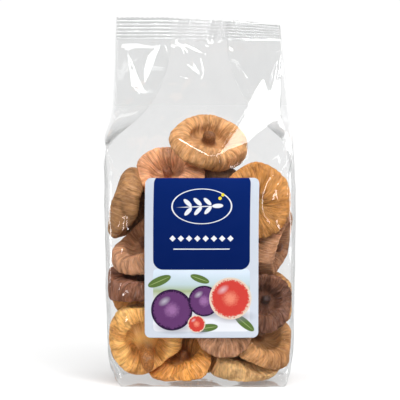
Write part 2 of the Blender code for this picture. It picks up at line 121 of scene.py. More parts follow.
def make_mesh(name, points, faces):
    """A smooth object from points in millimetres."""
    mesh = bpy.data.meshes.new(name)
    mesh.from_pydata((np.asarray(points) * MM).tolist(), [], faces)
    mesh.shade_smooth()
    made = bpy.data.objects.new(name, mesh)
    bpy.context.scene.collection.objects.link(made)
    return made


def ring_faces(rows, turns, start=0):
    """Quads between rows of points that each close."""
    faces = []
    for i in range(rows - 1):
        for j in range(turns):
            a, b = start + i * turns + j, start + i * turns + (j + 1) % turns
            faces.append((a, b, b + turns, a + turns))
    return faces


def ring_normals(grid):
    """Normals of rows of points that each close. They point outward where the rows climb."""
    around = np.roll(grid, -1, axis=1) - np.roll(grid, 1, axis=1)
    normals = np.cross(around, np.gradient(grid, axis=0))
    return normals / np.maximum(np.linalg.norm(normals, axis=2, keepdims=True), 1e-9)


def paint(obj, name, values):
    """A value or a colour for each point of a mesh, which its material reads."""
    values = np.asarray(values, np.float32)
    if values.ndim == 1:
        layer = obj.data.attributes.new(name, "FLOAT", "POINT")
        layer.data.foreach_set("value", values)
        return
    layer = obj.data.color_attributes.new(name, "FLOAT_COLOR", "POINT")
    full = np.ones((len(values), 4), np.float32)
    full[:, :3] = values
    layer.data.foreach_set("color", full.ravel())


def node_points(node):
    """A CAD node's points in millimetres, each corner once, and its triangles."""
    mesh = node.data
    co = np.zeros(len(mesh.vertices) * 3)
    mesh.vertices.foreach_get("co", co)
    co = co.reshape(-1, 3) / MM
    keys, back = np.unique(np.round(co, 3), axis=0, return_inverse=True)
    mesh.calc_loop_triangles()
    tris = np.zeros(len(mesh.loop_triangles) * 3, np.int64)
    mesh.loop_triangles.foreach_get("vertices", tris)
    return keys, back.ravel()[tris].reshape(-1, 3)


# Materials


class Nodes:
    """Short calls for the nodes of one material, or of the world."""

    def __init__(self, owner):
        owner.use_nodes = True
        self.owner = owner
        self.tree = owner.node_tree
        self.shader = self.tree.nodes.get("Principled BSDF")

    def add(self, kind, **settings):
        node = self.tree.nodes.new(kind)
        for key, value in settings.items():
            setattr(node, key, value)
        return node

    def link(self, source, target):
        if isinstance(source, (int, float)):
            target.default_value = source
        elif isinstance(source, tuple):
            target.default_value = (*source, 1.0)[:len(target.default_value)]
        else:
            self.tree.links.new(source, target)

    def fill(self, node, sources):
        """Links or sets several inputs of a node, by name or number."""
        for key, source in sources.items():
            self.link(source, node.inputs[key])
        return node

    def value(self, name):
        return self.add("ShaderNodeAttribute", attribute_name=name).outputs["Fac"]

    def stretched(self, name, scale):
        """A painted place, stretched by its own scale each way."""
        place = self.add("ShaderNodeAttribute", attribute_name=name).outputs["Vector"]
        node = self.add("ShaderNodeVectorMath", operation="MULTIPLY")
        return self.fill(node, {0: place, 1: scale}).outputs[0]

    def math(self, operation, a, b=0.0, c=0.0, clamp=False):
        node = self.add("ShaderNodeMath", operation=operation, use_clamp=clamp)
        for source, target in zip((a, b, c), node.inputs):
            self.link(source, target)
        return node.outputs[0]

    def plus(self, a, b):
        return self.math("ADD", a, b)

    def minus(self, a, b, clamp=False):
        return self.math("SUBTRACT", a, b, clamp=clamp)

    def times(self, a, b, clamp=False):
        return self.math("MULTIPLY", a, b, clamp=clamp)

    def scaled(self, a, share, more, clamp=False):
        return self.math("MULTIPLY_ADD", a, share, more, clamp=clamp)

    def size(self, a):
        return self.math("ABSOLUTE", a)

    def squared(self, a):
        return self.math("POWER", a, 2.0)

    def choose(self, factor, a, b):
        """Blends two values."""
        return self.fill(self.add("ShaderNodeMix"), {0: factor, 2: a, 3: b}).outputs[0]

    def mix(self, factor, a, b, blend="MIX"):
        """Blends two colours."""
        node = self.add("ShaderNodeMix", data_type="RGBA", blend_type=blend)
        return self.fill(node, {0: factor, 6: a, 7: b}).outputs[2]

    def noise(self, scale, detail=3.0, rough=0.55, vector=None):
        vector = vector or self.add("ShaderNodeTexCoord").outputs["Object"]
        settings = {"Scale": scale, "Detail": detail, "Roughness": rough, "Vector": vector}
        return self.fill(self.add("ShaderNodeTexNoise"), settings).outputs["Fac"]

    def ramp(self, value, *stops):
        node = self.add("ShaderNodeValToRGB")
        elements = node.color_ramp.elements
        while len(elements) < len(stops):
            elements.new(0.5)
        for element, (position, colour) in zip(elements, stops):
            element.position = position
            grey = isinstance(colour, (int, float))
            element.color = (colour, colour, colour, 1) if grey else (*colour, 1)
        return self.fill(node, {0: value}).outputs[0]

    def eased(self, value, start, end, low, high):
        """A value that eases from low to high between two ends."""
        node = self.add("ShaderNodeMapRange", interpolation_type="SMOOTHSTEP")
        self.fill(node, {"From Min": start, "From Max": end, "To Min": low, "To Max": high, "Value": value})
        return node.outputs[0]

    def bump(self, height, strength, distance):
        settings = {"Strength": strength, "Distance": distance, "Height": height}
        return self.fill(self.add("ShaderNodeBump"), settings).outputs[0]


# Dried figs


FIG_ROWS = 96
FIG_TURNS = 180
SKIN_COLOURS = {
    "fig_gold": ((0.92, 0.47, 0.13), (0.50, 0.185, 0.04)),
    "fig_amber": ((0.82, 0.355, 0.075), (0.42, 0.135, 0.026)),
    "fig_pale": ((0.82, 0.50, 0.21), (0.44, 0.21, 0.075)),
    "fig_tan": ((0.80, 0.40, 0.15), (0.36, 0.135, 0.042)),
    "fig_brown": ((0.64, 0.31, 0.15), (0.25, 0.090, 0.040)),
    "fig_dark": ((0.27, 0.105, 0.052), (0.085, 0.026, 0.014)),
}
# How light each fig is against its kind: partly each fig's own tone and partly painted light and shade.
# The low figs are drawn lighter, painted light that makes up for the lamplight the label and the film keep
# from them, and fig_label_high and fig_back_top, deep behind the others, are darkened with painted shade.
FIG_TONES_AND_PAINTED_LIGHT = {
    "fig_shoulder_left": 1.75, "fig_stem_left": 1.4, "fig_floor_middle": 1.5, "fig_mid_left": 1.15,
    "fig_low_left": 1.5, "fig_label_high": 0.22, "fig_back_top": 0.45, "fig_edge_left": 0.72,
    "fig_floor_right": 1.15, "fig_top": 1.06,
}
# How figs that others press on are drawn out: across, away and up, then how far they move.
PRESSED_FIGS = {
    "fig_edge_left": ((1.22, 1.0, 1.03), (2.6, 0.0, 1.0)),
    "fig_top": ((1.0, 1.0, 0.92), (0.0, 3.0, 1.5)),
}
# Stems that hang over: how far the tip moves, how much thicker the stem is, and how far the skin above
# it stands out as a ridge, in millimetres.
HANGING_STEMS = {
    "fig_stem_left": ((1.0, -3.5, -9.0), 1.35, 7.0),
    "fig_top": ((-2.5, 0.0, 1.5), 1.35, 0.0),
}
# The ridge above a hanging stem and the hollow on either side of it: half the ridge's width, and the
# hollow's place and half width, in radians round the stem and then in millimetres away from it.
RIDGE_HALF_TURN = 0.5
HOLLOW_TURN = (1.75, 0.68)
HOLLOW_AWAY = (8.5, 4.0)
# How often each kind of groove comes round a fig and down it, the seed of its noise, how wide it is in that
# noise, how deep in millimetres and how dark its painted shade is. The last kind runs across the ribs,
# and only in places.
GROOVES = (
    (3.6, 2.6, 11, 0.16, 0.50, 0.38),
    (8.5, 4.5, 12, 0.20, 0.42, 0.38),
    (17.0, 9.0, 13, 0.25, 0.22, 0.34),
    (5.0, 26.0, 14, 0.14, 0.22, 0.30),
)
LUMP_HEIGHT = 0.75
EYE_RING_HEIGHT = 0.55
EYE_PIT_DEPTH = 1.3


def hang_stem(grid, level, knots, tip_shift, swell, ridge):
    """Draws a fig's stem out and over to one side, with a ridge above it and a hollow on either side."""
    middle = grid.mean(1, keepdims=True)
    stem = fade(knots[2] * 0.9, knots[4], level) * smoothstep(0, knots[1], level)
    grid = middle + (grid - middle) * (1 + (swell - 1) * stem)[..., None]
    root = middle[2, 0]
    across, up = grid[..., 0] - root[0], grid[..., 2] - root[2]
    away = np.hypot(across, up)
    turned = np.abs(np.arctan2(across, up))
    near = fade(0.30, 0.42, level)
    lift = bell(turned, 0, RIDGE_HALF_TURN) * smoothstep(1, 6, away) * fade(10, 21, away)
    hollow = bell(turned, *HOLLOW_TURN) * bell(away, *HOLLOW_AWAY)
    front = grid[..., 1].min()
    moved = grid + fade(0, knots[3], level)[..., None] * np.array(tip_shift)
    moved[..., 1] += near * (1.05 * hollow - 0.3 * lift) * ridge
    moved[..., 1] = np.maximum(moved[..., 1], front)
    return moved, near * lift * min(1.0, ridge)


def ring_cycle(members, near):
    """The members of one ring in the order in which they join."""
    start = min(members)
    order = [start]
    inside = set(members)
    while len(order) < len(members):
        ahead = [v for v in near[order[-1]] if v in inside and v not in order[-2:]]
        ahead = [v for v in ahead if v not in order]
        if not ahead:
            break
        order.append(min(ahead))
    return order


def fig_grid(points, triangles):
    """The rings of points from a fig's stem tip to its eye, each turning the same way."""
    near = [set() for _ in points]
    for a, b, c in triangles:
        near[a].update((b, c))
        near[b].update((a, c))
        near[c].update((a, b))
    poles = sorted(range(len(points)), key=lambda v: -len(near[v]))[:2]
    rings = {}
    for pole in poles:
        levels = [[pole]]
        seen = {pole}
        while True:
            ahead = sorted({w for v in levels[-1] for w in near[v]} - seen)
            if not ahead:
                break
            seen.update(ahead)
            levels.append(ahead)
        second = points[levels[2]]
        rings[pole] = (np.linalg.norm(second - second.mean(0), axis=1).mean(), levels)
    tip = min(rings, key=lambda pole: rings[pole][0])
    levels = rings[tip][1]
    axis = points[tip] - points[levels[-1][0]]
    grid = []
    for level in levels[1:-1]:
        row = points[ring_cycle(level, near)]
        around = np.cross(row - row.mean(0), np.roll(row, -1, axis=0) - row.mean(0)).sum(0)
        if around @ axis < 0:
            row = row[::-1]
        if grid:
            shifts = [np.linalg.norm(np.roll(row, k, axis=0) - grid[-1], axis=1).sum()
                      for k in range(len(row))]
            row = np.roll(row, int(np.argmin(shifts)), axis=0)
        grid.append(row)
    tip_row = np.repeat(points[tip][None], len(grid[0]), axis=0)
    eye_row = np.repeat(points[levels[-1][0]][None], len(grid[0]), axis=0)
    return np.array([tip_row, *grid, eye_row])


def refine(grid, rows, turns):
    """A closed grid of points at a finer step, and how far down its outline each row is."""
    width = grid.shape[1]
    lapped = np.concatenate([grid[:, -3:], grid, grid[:, :4]], axis=1)
    turn_knots = np.arange(-3.0, width + 4)
    turn_samples = np.arange(turns) * width / turns
    round_first = hermite(turn_knots, lapped.transpose(1, 0, 2), turn_samples).transpose(1, 0, 2)
    steps = np.linalg.norm(np.diff(grid, axis=0), axis=2).mean(1)
    knots = np.concatenate([[0.0], np.cumsum(steps)])
    samples = np.linspace(0, knots[-1], rows)
    return hermite(knots, round_first, samples), samples / knots[-1], knots / knots[-1]


def fig_faces(rows, turns):
    """Faces of a fig's grid, whose first and last row each come to a point."""
    faces = [(a, d, c, b) for a, b, c, d in ring_faces(rows - 2, turns, 1)]
    last = 1 + (rows - 2) * turns
    for j in range(turns):
        k = (j + 1) % turns
        faces.append((0, 1 + j, 1 + k))
        faces.append((last, last - turns + k, last - turns + j))
    return faces


def lay_fig(node):
    """A fig's fine grid as it lies pressed in the bag, the turn and the level of each point, the levels of
    its outline's corners, and where a ridge runs up from its stem."""
    grid, along, knots = refine(fig_grid(*node_points(node)), FIG_ROWS, FIG_TURNS)
    turn, level = np.meshgrid(np.arange(FIG_TURNS) * 2 * math.pi / FIG_TURNS, along)
    ridge = np.zeros_like(level)
    if node.name in HANGING_STEMS:
        grid, ridge = hang_stem(grid, level, knots, *HANGING_STEMS[node.name])
    if node.name in PRESSED_FIGS:
        scale, shift = PRESSED_FIGS[node.name]
        middle = grid.mean((0, 1))
        grid = middle + (grid - middle) * scale + shift
    return grid, turn, level, knots, ridge


def dress_fig(node, seed, material):
    """A fig with wrinkled skin, made from the rings of its CAD solid."""
    grid, turn, level, knots, ridge = lay_fig(node)
    stem_end = knots[2]
    body = smoothstep(stem_end * 0.9, stem_end * 1.7, level)
    to_eye = 1 - level
    ripple = noise(np.stack([np.cos(turn) * 1.5, np.sin(turn) * 1.5, level * 5], -1), seed + 5)
    around = turn + 0.10 * ripple

    def ringed(reach, climb, key):
        place = [np.cos(around) * reach, np.sin(around) * reach, level * climb]
        return noise(np.stack(place, -1) + 31.7 * seed, seed + key)

    def spread(values):
        values = np.broadcast_to(values, level.shape)
        return np.concatenate([values[:1, 0], values[1:-1].ravel(), values[-1:, 0]])

    grooves = [bell(ringed(*kind[:3]), 0, kind[3]) for kind in GROOVES]
    grooves[-1] = grooves[-1] * smoothstep(-0.1, 0.35, ringed(2.0, 5.0, 16))
    deep = sum(kind[4] * groove for kind, groove in zip(GROOVES, grooves))
    # Painted shade: how dark the grooves are drawn, as if shade fell in them.
    dark = sum(kind[5] * groove for kind, groove in zip(GROOVES, grooves))
    wrinkled = body * smoothstep(0.0, 0.10, to_eye)
    relief = LUMP_HEIGHT * wrinkled * (ringed(1.3, 4.0, 15) - 0.5)
    relief -= wrinkled * (0.65 + 0.5 * ringed(1.7, 3.0, 17)) * deep
    relief += EYE_RING_HEIGHT * bell(to_eye, 0.052, 0.012) - EYE_PIT_DEPTH * bell(to_eye, 0, 0.028)
    moved = grid - ring_normals(grid) * relief[..., None]
    moved[0], moved[-1] = moved[0].mean(0), moved[-1].mean(0)
    points = np.concatenate([moved[:1, 0], moved[1:-1].reshape(-1, 3), moved[-1:, 0]])
    obj = make_mesh(node.name + "_skin", points, fig_faces(FIG_ROWS, FIG_TURNS))
    obj.data.materials.append(material)
    painted = {
        # Painted shade in the grooves.
        "groove": np.clip(dark, 0, 1) * body,
        "stem": fade(stem_end * 0.75, stem_end * 1.15, level),
        # Painted shade in the funnel round the stem, left off the ridge that stands out of it.
        "funnel_shade": fade(stem_end * 0.8, knots[4] * 1.1, level) * (1 - ridge),
        "eye": bell(to_eye, 0.048, 0.020),
        "streak": 0.5 + 0.5 * np.clip(0.8 * ringed(5.0, 1.6, 21), -1, 1),
        # Each fig's tone: partly its own colour, partly painted light and painted shade.
        "tone": FIG_TONES_AND_PAINTED_LIGHT.get(node.name, 1.0),
        "patch": 0.5 + 0.5 * np.clip(1.4 * ringed(1.1, 3.2, 23), -1, 1),
    }
    for name, values in painted.items():
        paint(obj, name, spread(values))
    place = [np.cos(around) + 5.3 * seed, np.sin(around) + 2.9 * seed, level + 1.7 * seed]
    paint(obj, "ring", np.stack([spread(values) for values in place], 1))
    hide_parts(node.name)
    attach(obj, "root")
    return obj, moved[::3, ::4]


def shade(colour, share, more=0.0):
    """A colour made darker or lighter."""
    return tuple(min(1.0, c * share + more) for c in colour)


def skin_material(name, light, dark):
    """Dried fig skin: streaked along the ribs, with painted shade in its grooves and round its stem, and
    dusted with dried sugar.
    """
    n = Nodes(bpy.data.materials.new(name))
    ribs = n.noise(1.0, 2, 0.5, n.stretched("ring", (17.0, 17.0, 3.5)))
    hairs = n.noise(1.0, 3, 0.6, n.stretched("ring", (48.0, 48.0, 8.0)))
    blend = n.scaled(n.value("patch"), 0.55, n.times(n.value("streak"), 0.45))
    tone = n.scaled(blend, 0.44, n.times(n.noise(420, 4, 0.6), 0.22))
    tone = n.plus(tone, n.scaled(ribs, 0.20, n.times(hairs, 0.26)))
    base = n.ramp(tone, (0.33, dark), (0.53, light), (0.74, shade(light, 1.2, 0.05)))
    base = n.mix(n.ramp(hairs, (0.32, 0.65), (0.44, 0.0)), base, shade(dark, 0.8))
    base = n.mix(n.ramp(hairs, (0.57, 0.0), (0.72, 0.60)), base, shade(light, 0.55, 0.40))
    # Painted shade: the grooves are drawn darker, as if shade fell in them.
    base = n.mix(n.times(n.value("groove"), 0.72, clamp=True), base, shade(dark, 0.42))
    # Painted shade: the funnel round the stem is drawn darker, as if shade fell in it.
    base = n.mix(n.times(n.value("funnel_shade"), 0.38), base, shade(dark, 0.7))
    base = n.mix(n.times(n.value("eye"), 0.75), base, shade(light, 1.35, 0.05))
    stem = n.ramp(n.noise(900, 3), (0.3, shade(dark, 0.40)), (0.7, shade(dark, 0.9)))
    base = n.mix(n.value("stem"), base, stem)
    sugar = n.ramp(n.noise(130, 6, 0.7), (0.50, 0.0), (0.70, 1.0))
    sugar = n.times(sugar, n.minus(0.20, n.times(n.value("groove"), 0.3)))
    base = n.mix(sugar, base, shade(light, 0.45, 0.42))
    fine = n.plus(n.noise(1500, 3), n.times(n.noise(500, 4, 0.65), 1.2))
    n.fill(n.shader, {
        # The painted tone: each fig's own lightness, with painted light on the low figs and painted shade
        # on the hidden ones.
        "Base Color": n.mix(1.0, base, n.value("tone"), "MULTIPLY"),
        "Specular IOR Level": 0.42,
        "Roughness": n.ramp(n.noise(240, 3), (0.3, 0.40), (0.7, 0.62)),
        "Subsurface Weight": 0.2,
        "Subsurface Radius": (1.0, 0.45, 0.15),
        "Subsurface Scale": 0.0016,
        "Normal": n.bump(n.plus(fine, n.times(hairs, 1.6)), 0.8, 0.0005),
    })
    return n.owner


def build_figs(frame):
    slots = {row["node"]: row["material_slot"] for row in frame["record"]["subparts"]}
    skins = {slot: skin_material(slot + "_skin", *tones) for slot, tones in SKIN_COLOURS.items()}
    outlines = []
    for seed, name in enumerate(sorted(n for n in frame["nodes"] if n.startswith("fig_"))):
        fig, outline = dress_fig(frame["nodes"][name], seed, skins[slots[name]])
        outlines.append(outline)
    return outlines


# The film


PROFILE_COLUMNS = ("z", "left", "right", "depth", "crown", "side", "back", "twist")
PROFILE = (
    (0.0, 48.8, 52.4, 27.5, 0.0, 0.0, 0.0, 0.0),
    (2.0, 50.2, 53.6, 28.5, 0.3, 0.3, 0.3, 0.0),
    (13.0, 54.4, 55.6, 28.5, 2.5, 2.6, 2.5, 0.0),
    (30.0, 55.6, 56.2, 28.5, 4.2, 3.0, 4.2, 0.0),
    (55.0, 56.0, 56.5, 28.5, 5.0, 3.4, 5.0, 0.0),
    (85.0, 56.2, 56.7, 28.5, 5.0, 3.6, 5.0, 0.0),
    (110.0, 56.6, 56.8, 28.5, 4.8, 3.6, 4.0, 0.3),
    (126.0, 57.0, 56.6, 28.0, 4.2, 3.2, 0.0, 1.0),
    (138.0, 58.2, 56.4, 26.2, 3.6, 1.6, -5.0, 2.0),
    (150.0, 58.4, 55.4, 23.6, 3.0, -5.0, -6.0, 3.2),
    (162.0, 54.6, 53.2, 20.0, 2.4, -15.0, -3.6, 4.2),
    (176.0, 53.0, 52.0, 14.6, 1.8, -25.0, 0.0, 5.0),
    (190.0, 52.6, 51.5, 9.0, 1.2, -31.0, 0.6, 5.5),
    (202.0, 52.2, 51.0, 4.2, 0.6, -33.5, 0.6, 5.5),
    (211.0, 52.0, 50.6, 0.4, 0.0, -34.0, 0.0, 5.5),
    (226.0, 51.6, 50.0, 0.4, 0.0, -34.0, 0.0, 5.5),
)
PANEL_POWER = 2.6
FILM_LAYER = 0.26
SEAL_Z = 211.0
SEAL_TOP = 226.0
SEAL_LEFT = -52.0
SEAL_WIDTH = 103.0
SEAL_LEAN_LEFT = 8.0
SEAL_LEAN_RIGHT = 48.0
SEAL_RIB_STEP = 2.2
SEAL_RIB_HEIGHT = 0.34
TOOTH_STEP = 3.1
PANEL_STEPS = 150
FOLD_STEPS = 24
BOTTOM_ROWS = 12
BOTTOM_FOLD_SHARE = 0.45
LABEL_WIDTH = 69.0
LABEL_HEIGHT = 97.2
LABEL_X = 0.9
LABEL_Z = 79.5
LABEL_CORNER = 3.6
CORNER_RADIUS = 10.0
BACK_SEAM_HALF = 5.0
BACK_SEAM_RISE = 0.5
BACK_SEAM_RIB_STEP = 1.4
BACK_SEAM_RIB_HEIGHT = 0.08
# The film's nets of creases: the step of each, and the seed of its draws.
CRUMPLE_NETS = ((23.0, 5), (11.0, 6), (5.5, 7))
# How the film is drawn in between the figs: the rays that look for them start outside it.
FIGS_TOP = 182.0
FIG_CLEARANCE = 0.35
RAY_START = 6.0
RAY_LENGTH = 18.0
MOST_ROOM = 12.0
SAG_LIMIT = 2.5
SAG_PULL = 0.012
SIDE_FREEDOM = 0.3
STRETCH_ROUNDS = 500
SMOOTH_ROUNDS = 5
# Pleats caught in the seal: how far across each is at their foot, its half width and how far out it stands.
PLEATS = (
    (-13.5, 2.2, 0.9), (-11.0, 1.54, -0.63), (7.5, 2.64, 1.17), (10.5, 1.76, -0.99), (13.5, 2.2, 0.9),
    (17.0, 3.08, -0.45), (-38.0, 5.72, 0.45),
)
PLEAT_FOOT = 212.0
PLEAT_SLANT = 0.22


def profile(name, z):
    """One column of PROFILE at each height, joined by smooth steps that never overshoot."""
    heights = np.array([row[0] for row in PROFILE])
    values = np.array([row[PROFILE_COLUMNS.index(name)] for row in PROFILE])
    slopes = np.gradient(values, heights)
    z = np.clip(np.asarray(z, float), heights[0], heights[-1])
    k = np.clip(np.searchsorted(heights, z, side="right") - 1, 0, len(heights) - 2)
    span = heights[k + 1] - heights[k]
    t = (z - heights[k]) / span
    blend = values[k] + (values[k + 1] - values[k]) * (3 * t**2 - 2 * t**3)
    blend += slopes[k] * span * (t**3 - 2 * t**2 + t) + slopes[k + 1] * span * (t**3 - t**2)
    low, high = np.minimum(values[k], values[k + 1]), np.maximum(values[k], values[k + 1])
    return np.clip(blend, low, high)


def half_width(x, z):
    """How far the bag reaches on the side that x is on."""
    return np.where(x < 0, profile("left", z), profile("right", z))


def panel_depth(x, z, crown="crown"):
    """How far the front panel, or with crown="back" the back one, stands from the middle plane."""
    share = np.clip(np.abs(x) / half_width(x, z), 0, 1)
    return profile("depth", z) + profile(crown, z) * (1 - share**PANEL_POWER)


def film_heights():
    """Heights of the film's rows: close together in the seal, where it is ribbed."""
    return np.concatenate([np.linspace(0, 3, 5)[:-1], np.linspace(3, 118, 76)[:-1],
                           np.linspace(118, 205, 118)[:-1], np.linspace(205, SEAL_TOP, 70)])


def side_columns(side, z):
    """The side of the bag, tucked in or standing out, from its front crease to its back one."""
    corner = profile("left" if side < 0 else "right", z)[:, None]
    depth = profile("depth", z)[:, None]
    stand = profile("side", z)[:, None]
    sharp = np.clip(-stand / 12.0, 0, 1)
    outer = depth - FILM_LAYER
    half = FILM_LAYER / 2
    share = np.linspace(0, 1, FOLD_STEPS)[None]
    lift = (1 - sharp) * (1 - (1 - share) ** 2) + sharp * share
    x = np.concatenate([corner, corner + 0.6 * half * sharp, corner + stand * lift,
                        corner + stand - 0.6 * half * sharp], axis=1)
    y = -np.concatenate([depth, depth - half, outer + (half - outer) * share, 0 * depth], axis=1)
    whole_x = np.concatenate([x, x[:, -2::-1]], axis=1)
    whole_y = np.concatenate([y, -y[:, -2::-1]], axis=1)
    return side * whole_x, whole_y


def film_base():
    """Middle of the film as rows of points round the bag, and which part of it each column is."""
    z = film_heights()
    share = np.linspace(-1, 1, PANEL_STEPS + 1)[1:-1][None]
    x = share * half_width(share, z[:, None])
    level = np.broadcast_to(z[:, None], x.shape)
    front_y, back_y = panel_depth(x, level), panel_depth(x, level, "back")
    right_x, right_y = side_columns(1, z)
    left_x, left_y = side_columns(-1, z)
    all_x = np.concatenate([x, right_x, x[:, ::-1], left_x[:, ::-1]], axis=1)
    all_y = np.concatenate([-front_y, right_y, back_y[:, ::-1], left_y[:, ::-1]], axis=1)
    all_z = np.broadcast_to(z[:, None], all_x.shape)
    counts = (("front", x), ("right", right_x), ("back", x), ("left", left_x))
    part = np.concatenate([np.full(grid.shape[1], name) for name, grid in counts])
    part = np.broadcast_to(part, all_x.shape)
    return round_corners(np.stack([all_x, all_y, all_z], axis=2), part), part


def round_corners(grid, part):
    """Rounds the four upright corners of the belly, where the film wraps the fruit."""
    x, y, z = grid[..., 0], grid[..., 1], grid[..., 2]
    corner = half_width(x, z)
    depth = profile("depth", z)
    radius = CORNER_RADIUS * (1 - smoothstep(124, 150, z)) * (0.45 + 0.55 * smoothstep(0, 14, z)) + 0.01
    panel = (part == "front") | (part == "back")
    along = np.where(panel, np.abs(x) - corner, depth - np.abs(y))
    angle = (along + radius) / (2 * radius) * math.pi / 2
    round_x = corner - radius + radius * np.sin(angle)
    round_y = depth - radius + radius * np.cos(angle)
    rest_x = np.where(panel, 0.0, np.abs(x) - corner)
    rest_y = np.where(panel, np.abs(y) - depth, 0.0)
    near = np.abs(along) < radius
    new_x = np.where(near, np.sign(x) * (round_x + rest_x), x)
    new_y = np.where(near, np.where(y < 0, -1.0, 1.0) * (round_y + rest_y), y)
    return np.stack([new_x, new_y, z], axis=2)


def twist(points, heights):
    """Turns each row about the upright axis: the head is turned a little against the belly."""
    angle = np.radians(profile("twist", heights))
    x, y = points[..., 0], points[..., 1]
    return np.stack([x * np.cos(angle) - y * np.sin(angle), x * np.sin(angle) + y * np.cos(angle),
                     points[..., 2]], axis=-1)


# How the front of the head is creased: across, up, and how far out, in millimetres. Each row of spots
# is one crease, and the film is flat between the creases.
HEAD_CREASES = (
    # beside the large facet on the right
    ((15.0, 158.0, 1.4), (21.0, 172.0, 0.8), (27.0, 184.0, 0.5), (34.0, 198.0, 0.1)),
    ((42.6, 188.0, 1.6), (42.9, 196.0, 0.5)),
    ((3.6, 139.2, 4.0), (-15.0, 149.0, 2.4), (-24.0, 158.0, 1.2)),
    ((28.5, 141.0, -1.5), (43.0, 148.0, 0.5), (52.0, 156.0, 0.15)),
    ((-30.0, 134.0, 1.0), (-4.0, 130.0, 2.0), (14.0, 130.0, 1.4), (36.0, 131.0, 0.6)),
    # the two arms on the left, which meet below
    ((-47.3, 209.5, 0.2), (-45.4, 203.7, 1.1), (-44.3, 193.0, 1.5), (-43.5, 182.6, 1.4),
     (-39.8, 180.7, 0.8)),
    ((-45.0, 203.7, 1.0), (-40.0, 192.6, 0.3), (-36.0, 191.5, 0.8), (-33.0, 201.2, 1.0),
     (-24.3, 209.3, 0.4)),
    ((-24.0, 209.0, 0.2), (-27.4, 201.2, -0.4), (-31.1, 192.0, -0.3), (-35.5, 182.6, -0.6),
     (-39.8, 180.7, 0.8)),
    ((-46.5, 172.7, 0.7), (-41.5, 179.0, 0.9)),
    ((-38.5, 177.5, 0.7), (-33.0, 178.5, 0.3)),
    # the wedge below the pleats
    ((-11.9, 208.6, 0.6), (-8.8, 195.6, 1.2), (-0.2, 189.4, 0.1)),
    ((-11.0, 208.6, 0.4), (-4.4, 196.6, 0.3), (0.0, 189.6, 0.1)),
    # the quiet film in the middle and along the edges
    ((-20.0, 196.0, 0.3), (-22.0, 180.0, 0.6), (-34.0, 164.0, 0.7), (-46.0, 152.0, 0.5)),
    ((8.0, 200.0, 0.2), (8.0, 182.0, 0.4), (2.0, 164.0, 1.0)),
    ((-52.0, 205.0, 0.0), (-52.0, 185.0, 0.0), (-54.0, 165.0, 0.0), (-58.0, 140.0, 0.0)),
    ((52.0, 205.0, 0.0), (52.0, 185.0, -0.3), (54.0, 160.0, 0.3), (58.0, 140.0, 0.7)),
    ((-60.0, 104.0, 0.0), (0.0, 104.0, 0.0), (60.0, 104.0, 0.0)),
    ((-60.0, 218.0, 0.0), (-30.0, 213.0, 0.0), (0.0, 213.0, 0.0), (30.0, 213.0, 0.0), (60.0, 218.0, 0.0)),
)
# The large flat facet on the right: its corners across and up, and the way it faces in degrees. Its first
# corner is its tip, which stands this far out.
LARGE_FACET = (
    (8.4, 140.0), (16.5, 144.5), (27.0, 149.0), (38.0, 158.5), (48.6, 166.0), (48.4, 176.5),
    (47.2, 198.0), (41.6, 178.5), (38.2, 188.0), (34.4, 183.0), (28.6, 174.0), (27.4, 169.0),
)
LARGE_FACET_FACES = (14.5, 20.0)
LARGE_FACET_TIP = 4.4
# Thin creases that stand out of the film: their height and half width, then their spots.
THIN_CREASES = (
    (0.68, 1.6, ((-15.0, 150.0), (-5.0, 144.2), (3.6, 139.8), (10.0, 139.5))),
    (0.22, 1.3, ((-49.1, 172.7), (-46.0, 175.2), (-41.1, 181.4))),
    (0.20, 1.1, ((-24.5, 152.0), (-24.3, 146.0))),
    (0.20, 1.1, ((-22.5, 207.5), (-21.0, 203.0), (-19.0, 202.0), (-17.0, 207.5))),
    (0.22, 1.1, ((-15.0, 188.2), (-8.0, 186.6), (-0.8, 187.6), (0.5, 191.3), (-0.8, 200.0))),
    (0.18, 1.1, ((-10.0, 208.0), (1.7, 201.8), (3.6, 207.4))),
    (0.22, 1.2, ((47.0, 187.6), (49.4, 201.0))),
    (0.14, 1.6, ((3.6, 182.5), (31.0, 175.8))),
    (0.20, 1.4, ((-47.8, 211.0), (-49.0, 194.0), (-51.0, 169.0), (-55.0, 158.0), (-58.0, 145.0))),
    (0.07, 1.3, ((17.8, 206.0), (24.1, 193.0), (31.5, 180.5))),
)


def large_facet(x, z):
    """How far the flat facet on the right stands out of the smooth film, if it went on for ever."""
    facing = np.radians(LARGE_FACET_FACES[0] - profile("twist", z))
    upward = math.tan(math.radians(LARGE_FACET_FACES[1]))
    tip_x, tip_z = LARGE_FACET[0]
    tip_depth = panel_depth(np.array([tip_x]), np.array([tip_z]))[0] + LARGE_FACET_TIP
    return tip_depth - np.tan(facing) * (x - tip_x) - upward * (z - tip_z) - panel_depth(x, z)


def inside_corners(corners, x, z):
    """Whether each place lies inside a many-sided shape."""
    inside = np.zeros(x.shape, bool)
    for (ax, az), (bx, bz) in zip(corners, corners[1:] + corners[:1]):
        crosses = (az > z) != (bz > z)
        inside ^= crosses & (x < ax + (bx - ax) * (z - az) / (bz - az if bz != az else 1e-9))
    return inside


def line_distance(x, z, line):
    """How far each place is from a line of spots."""
    near = np.full(x.shape, np.inf)
    for (ax, az), (bx, bz) in zip(line, line[1:]):
        dx, dz = bx - ax, bz - az
        run = np.clip(((x - ax) * dx + (z - az) * dz) / (dx**2 + dz**2), 0, 1)
        near = np.minimum(near, np.hypot(x - ax - run * dx, z - az - run * dz))
    return near


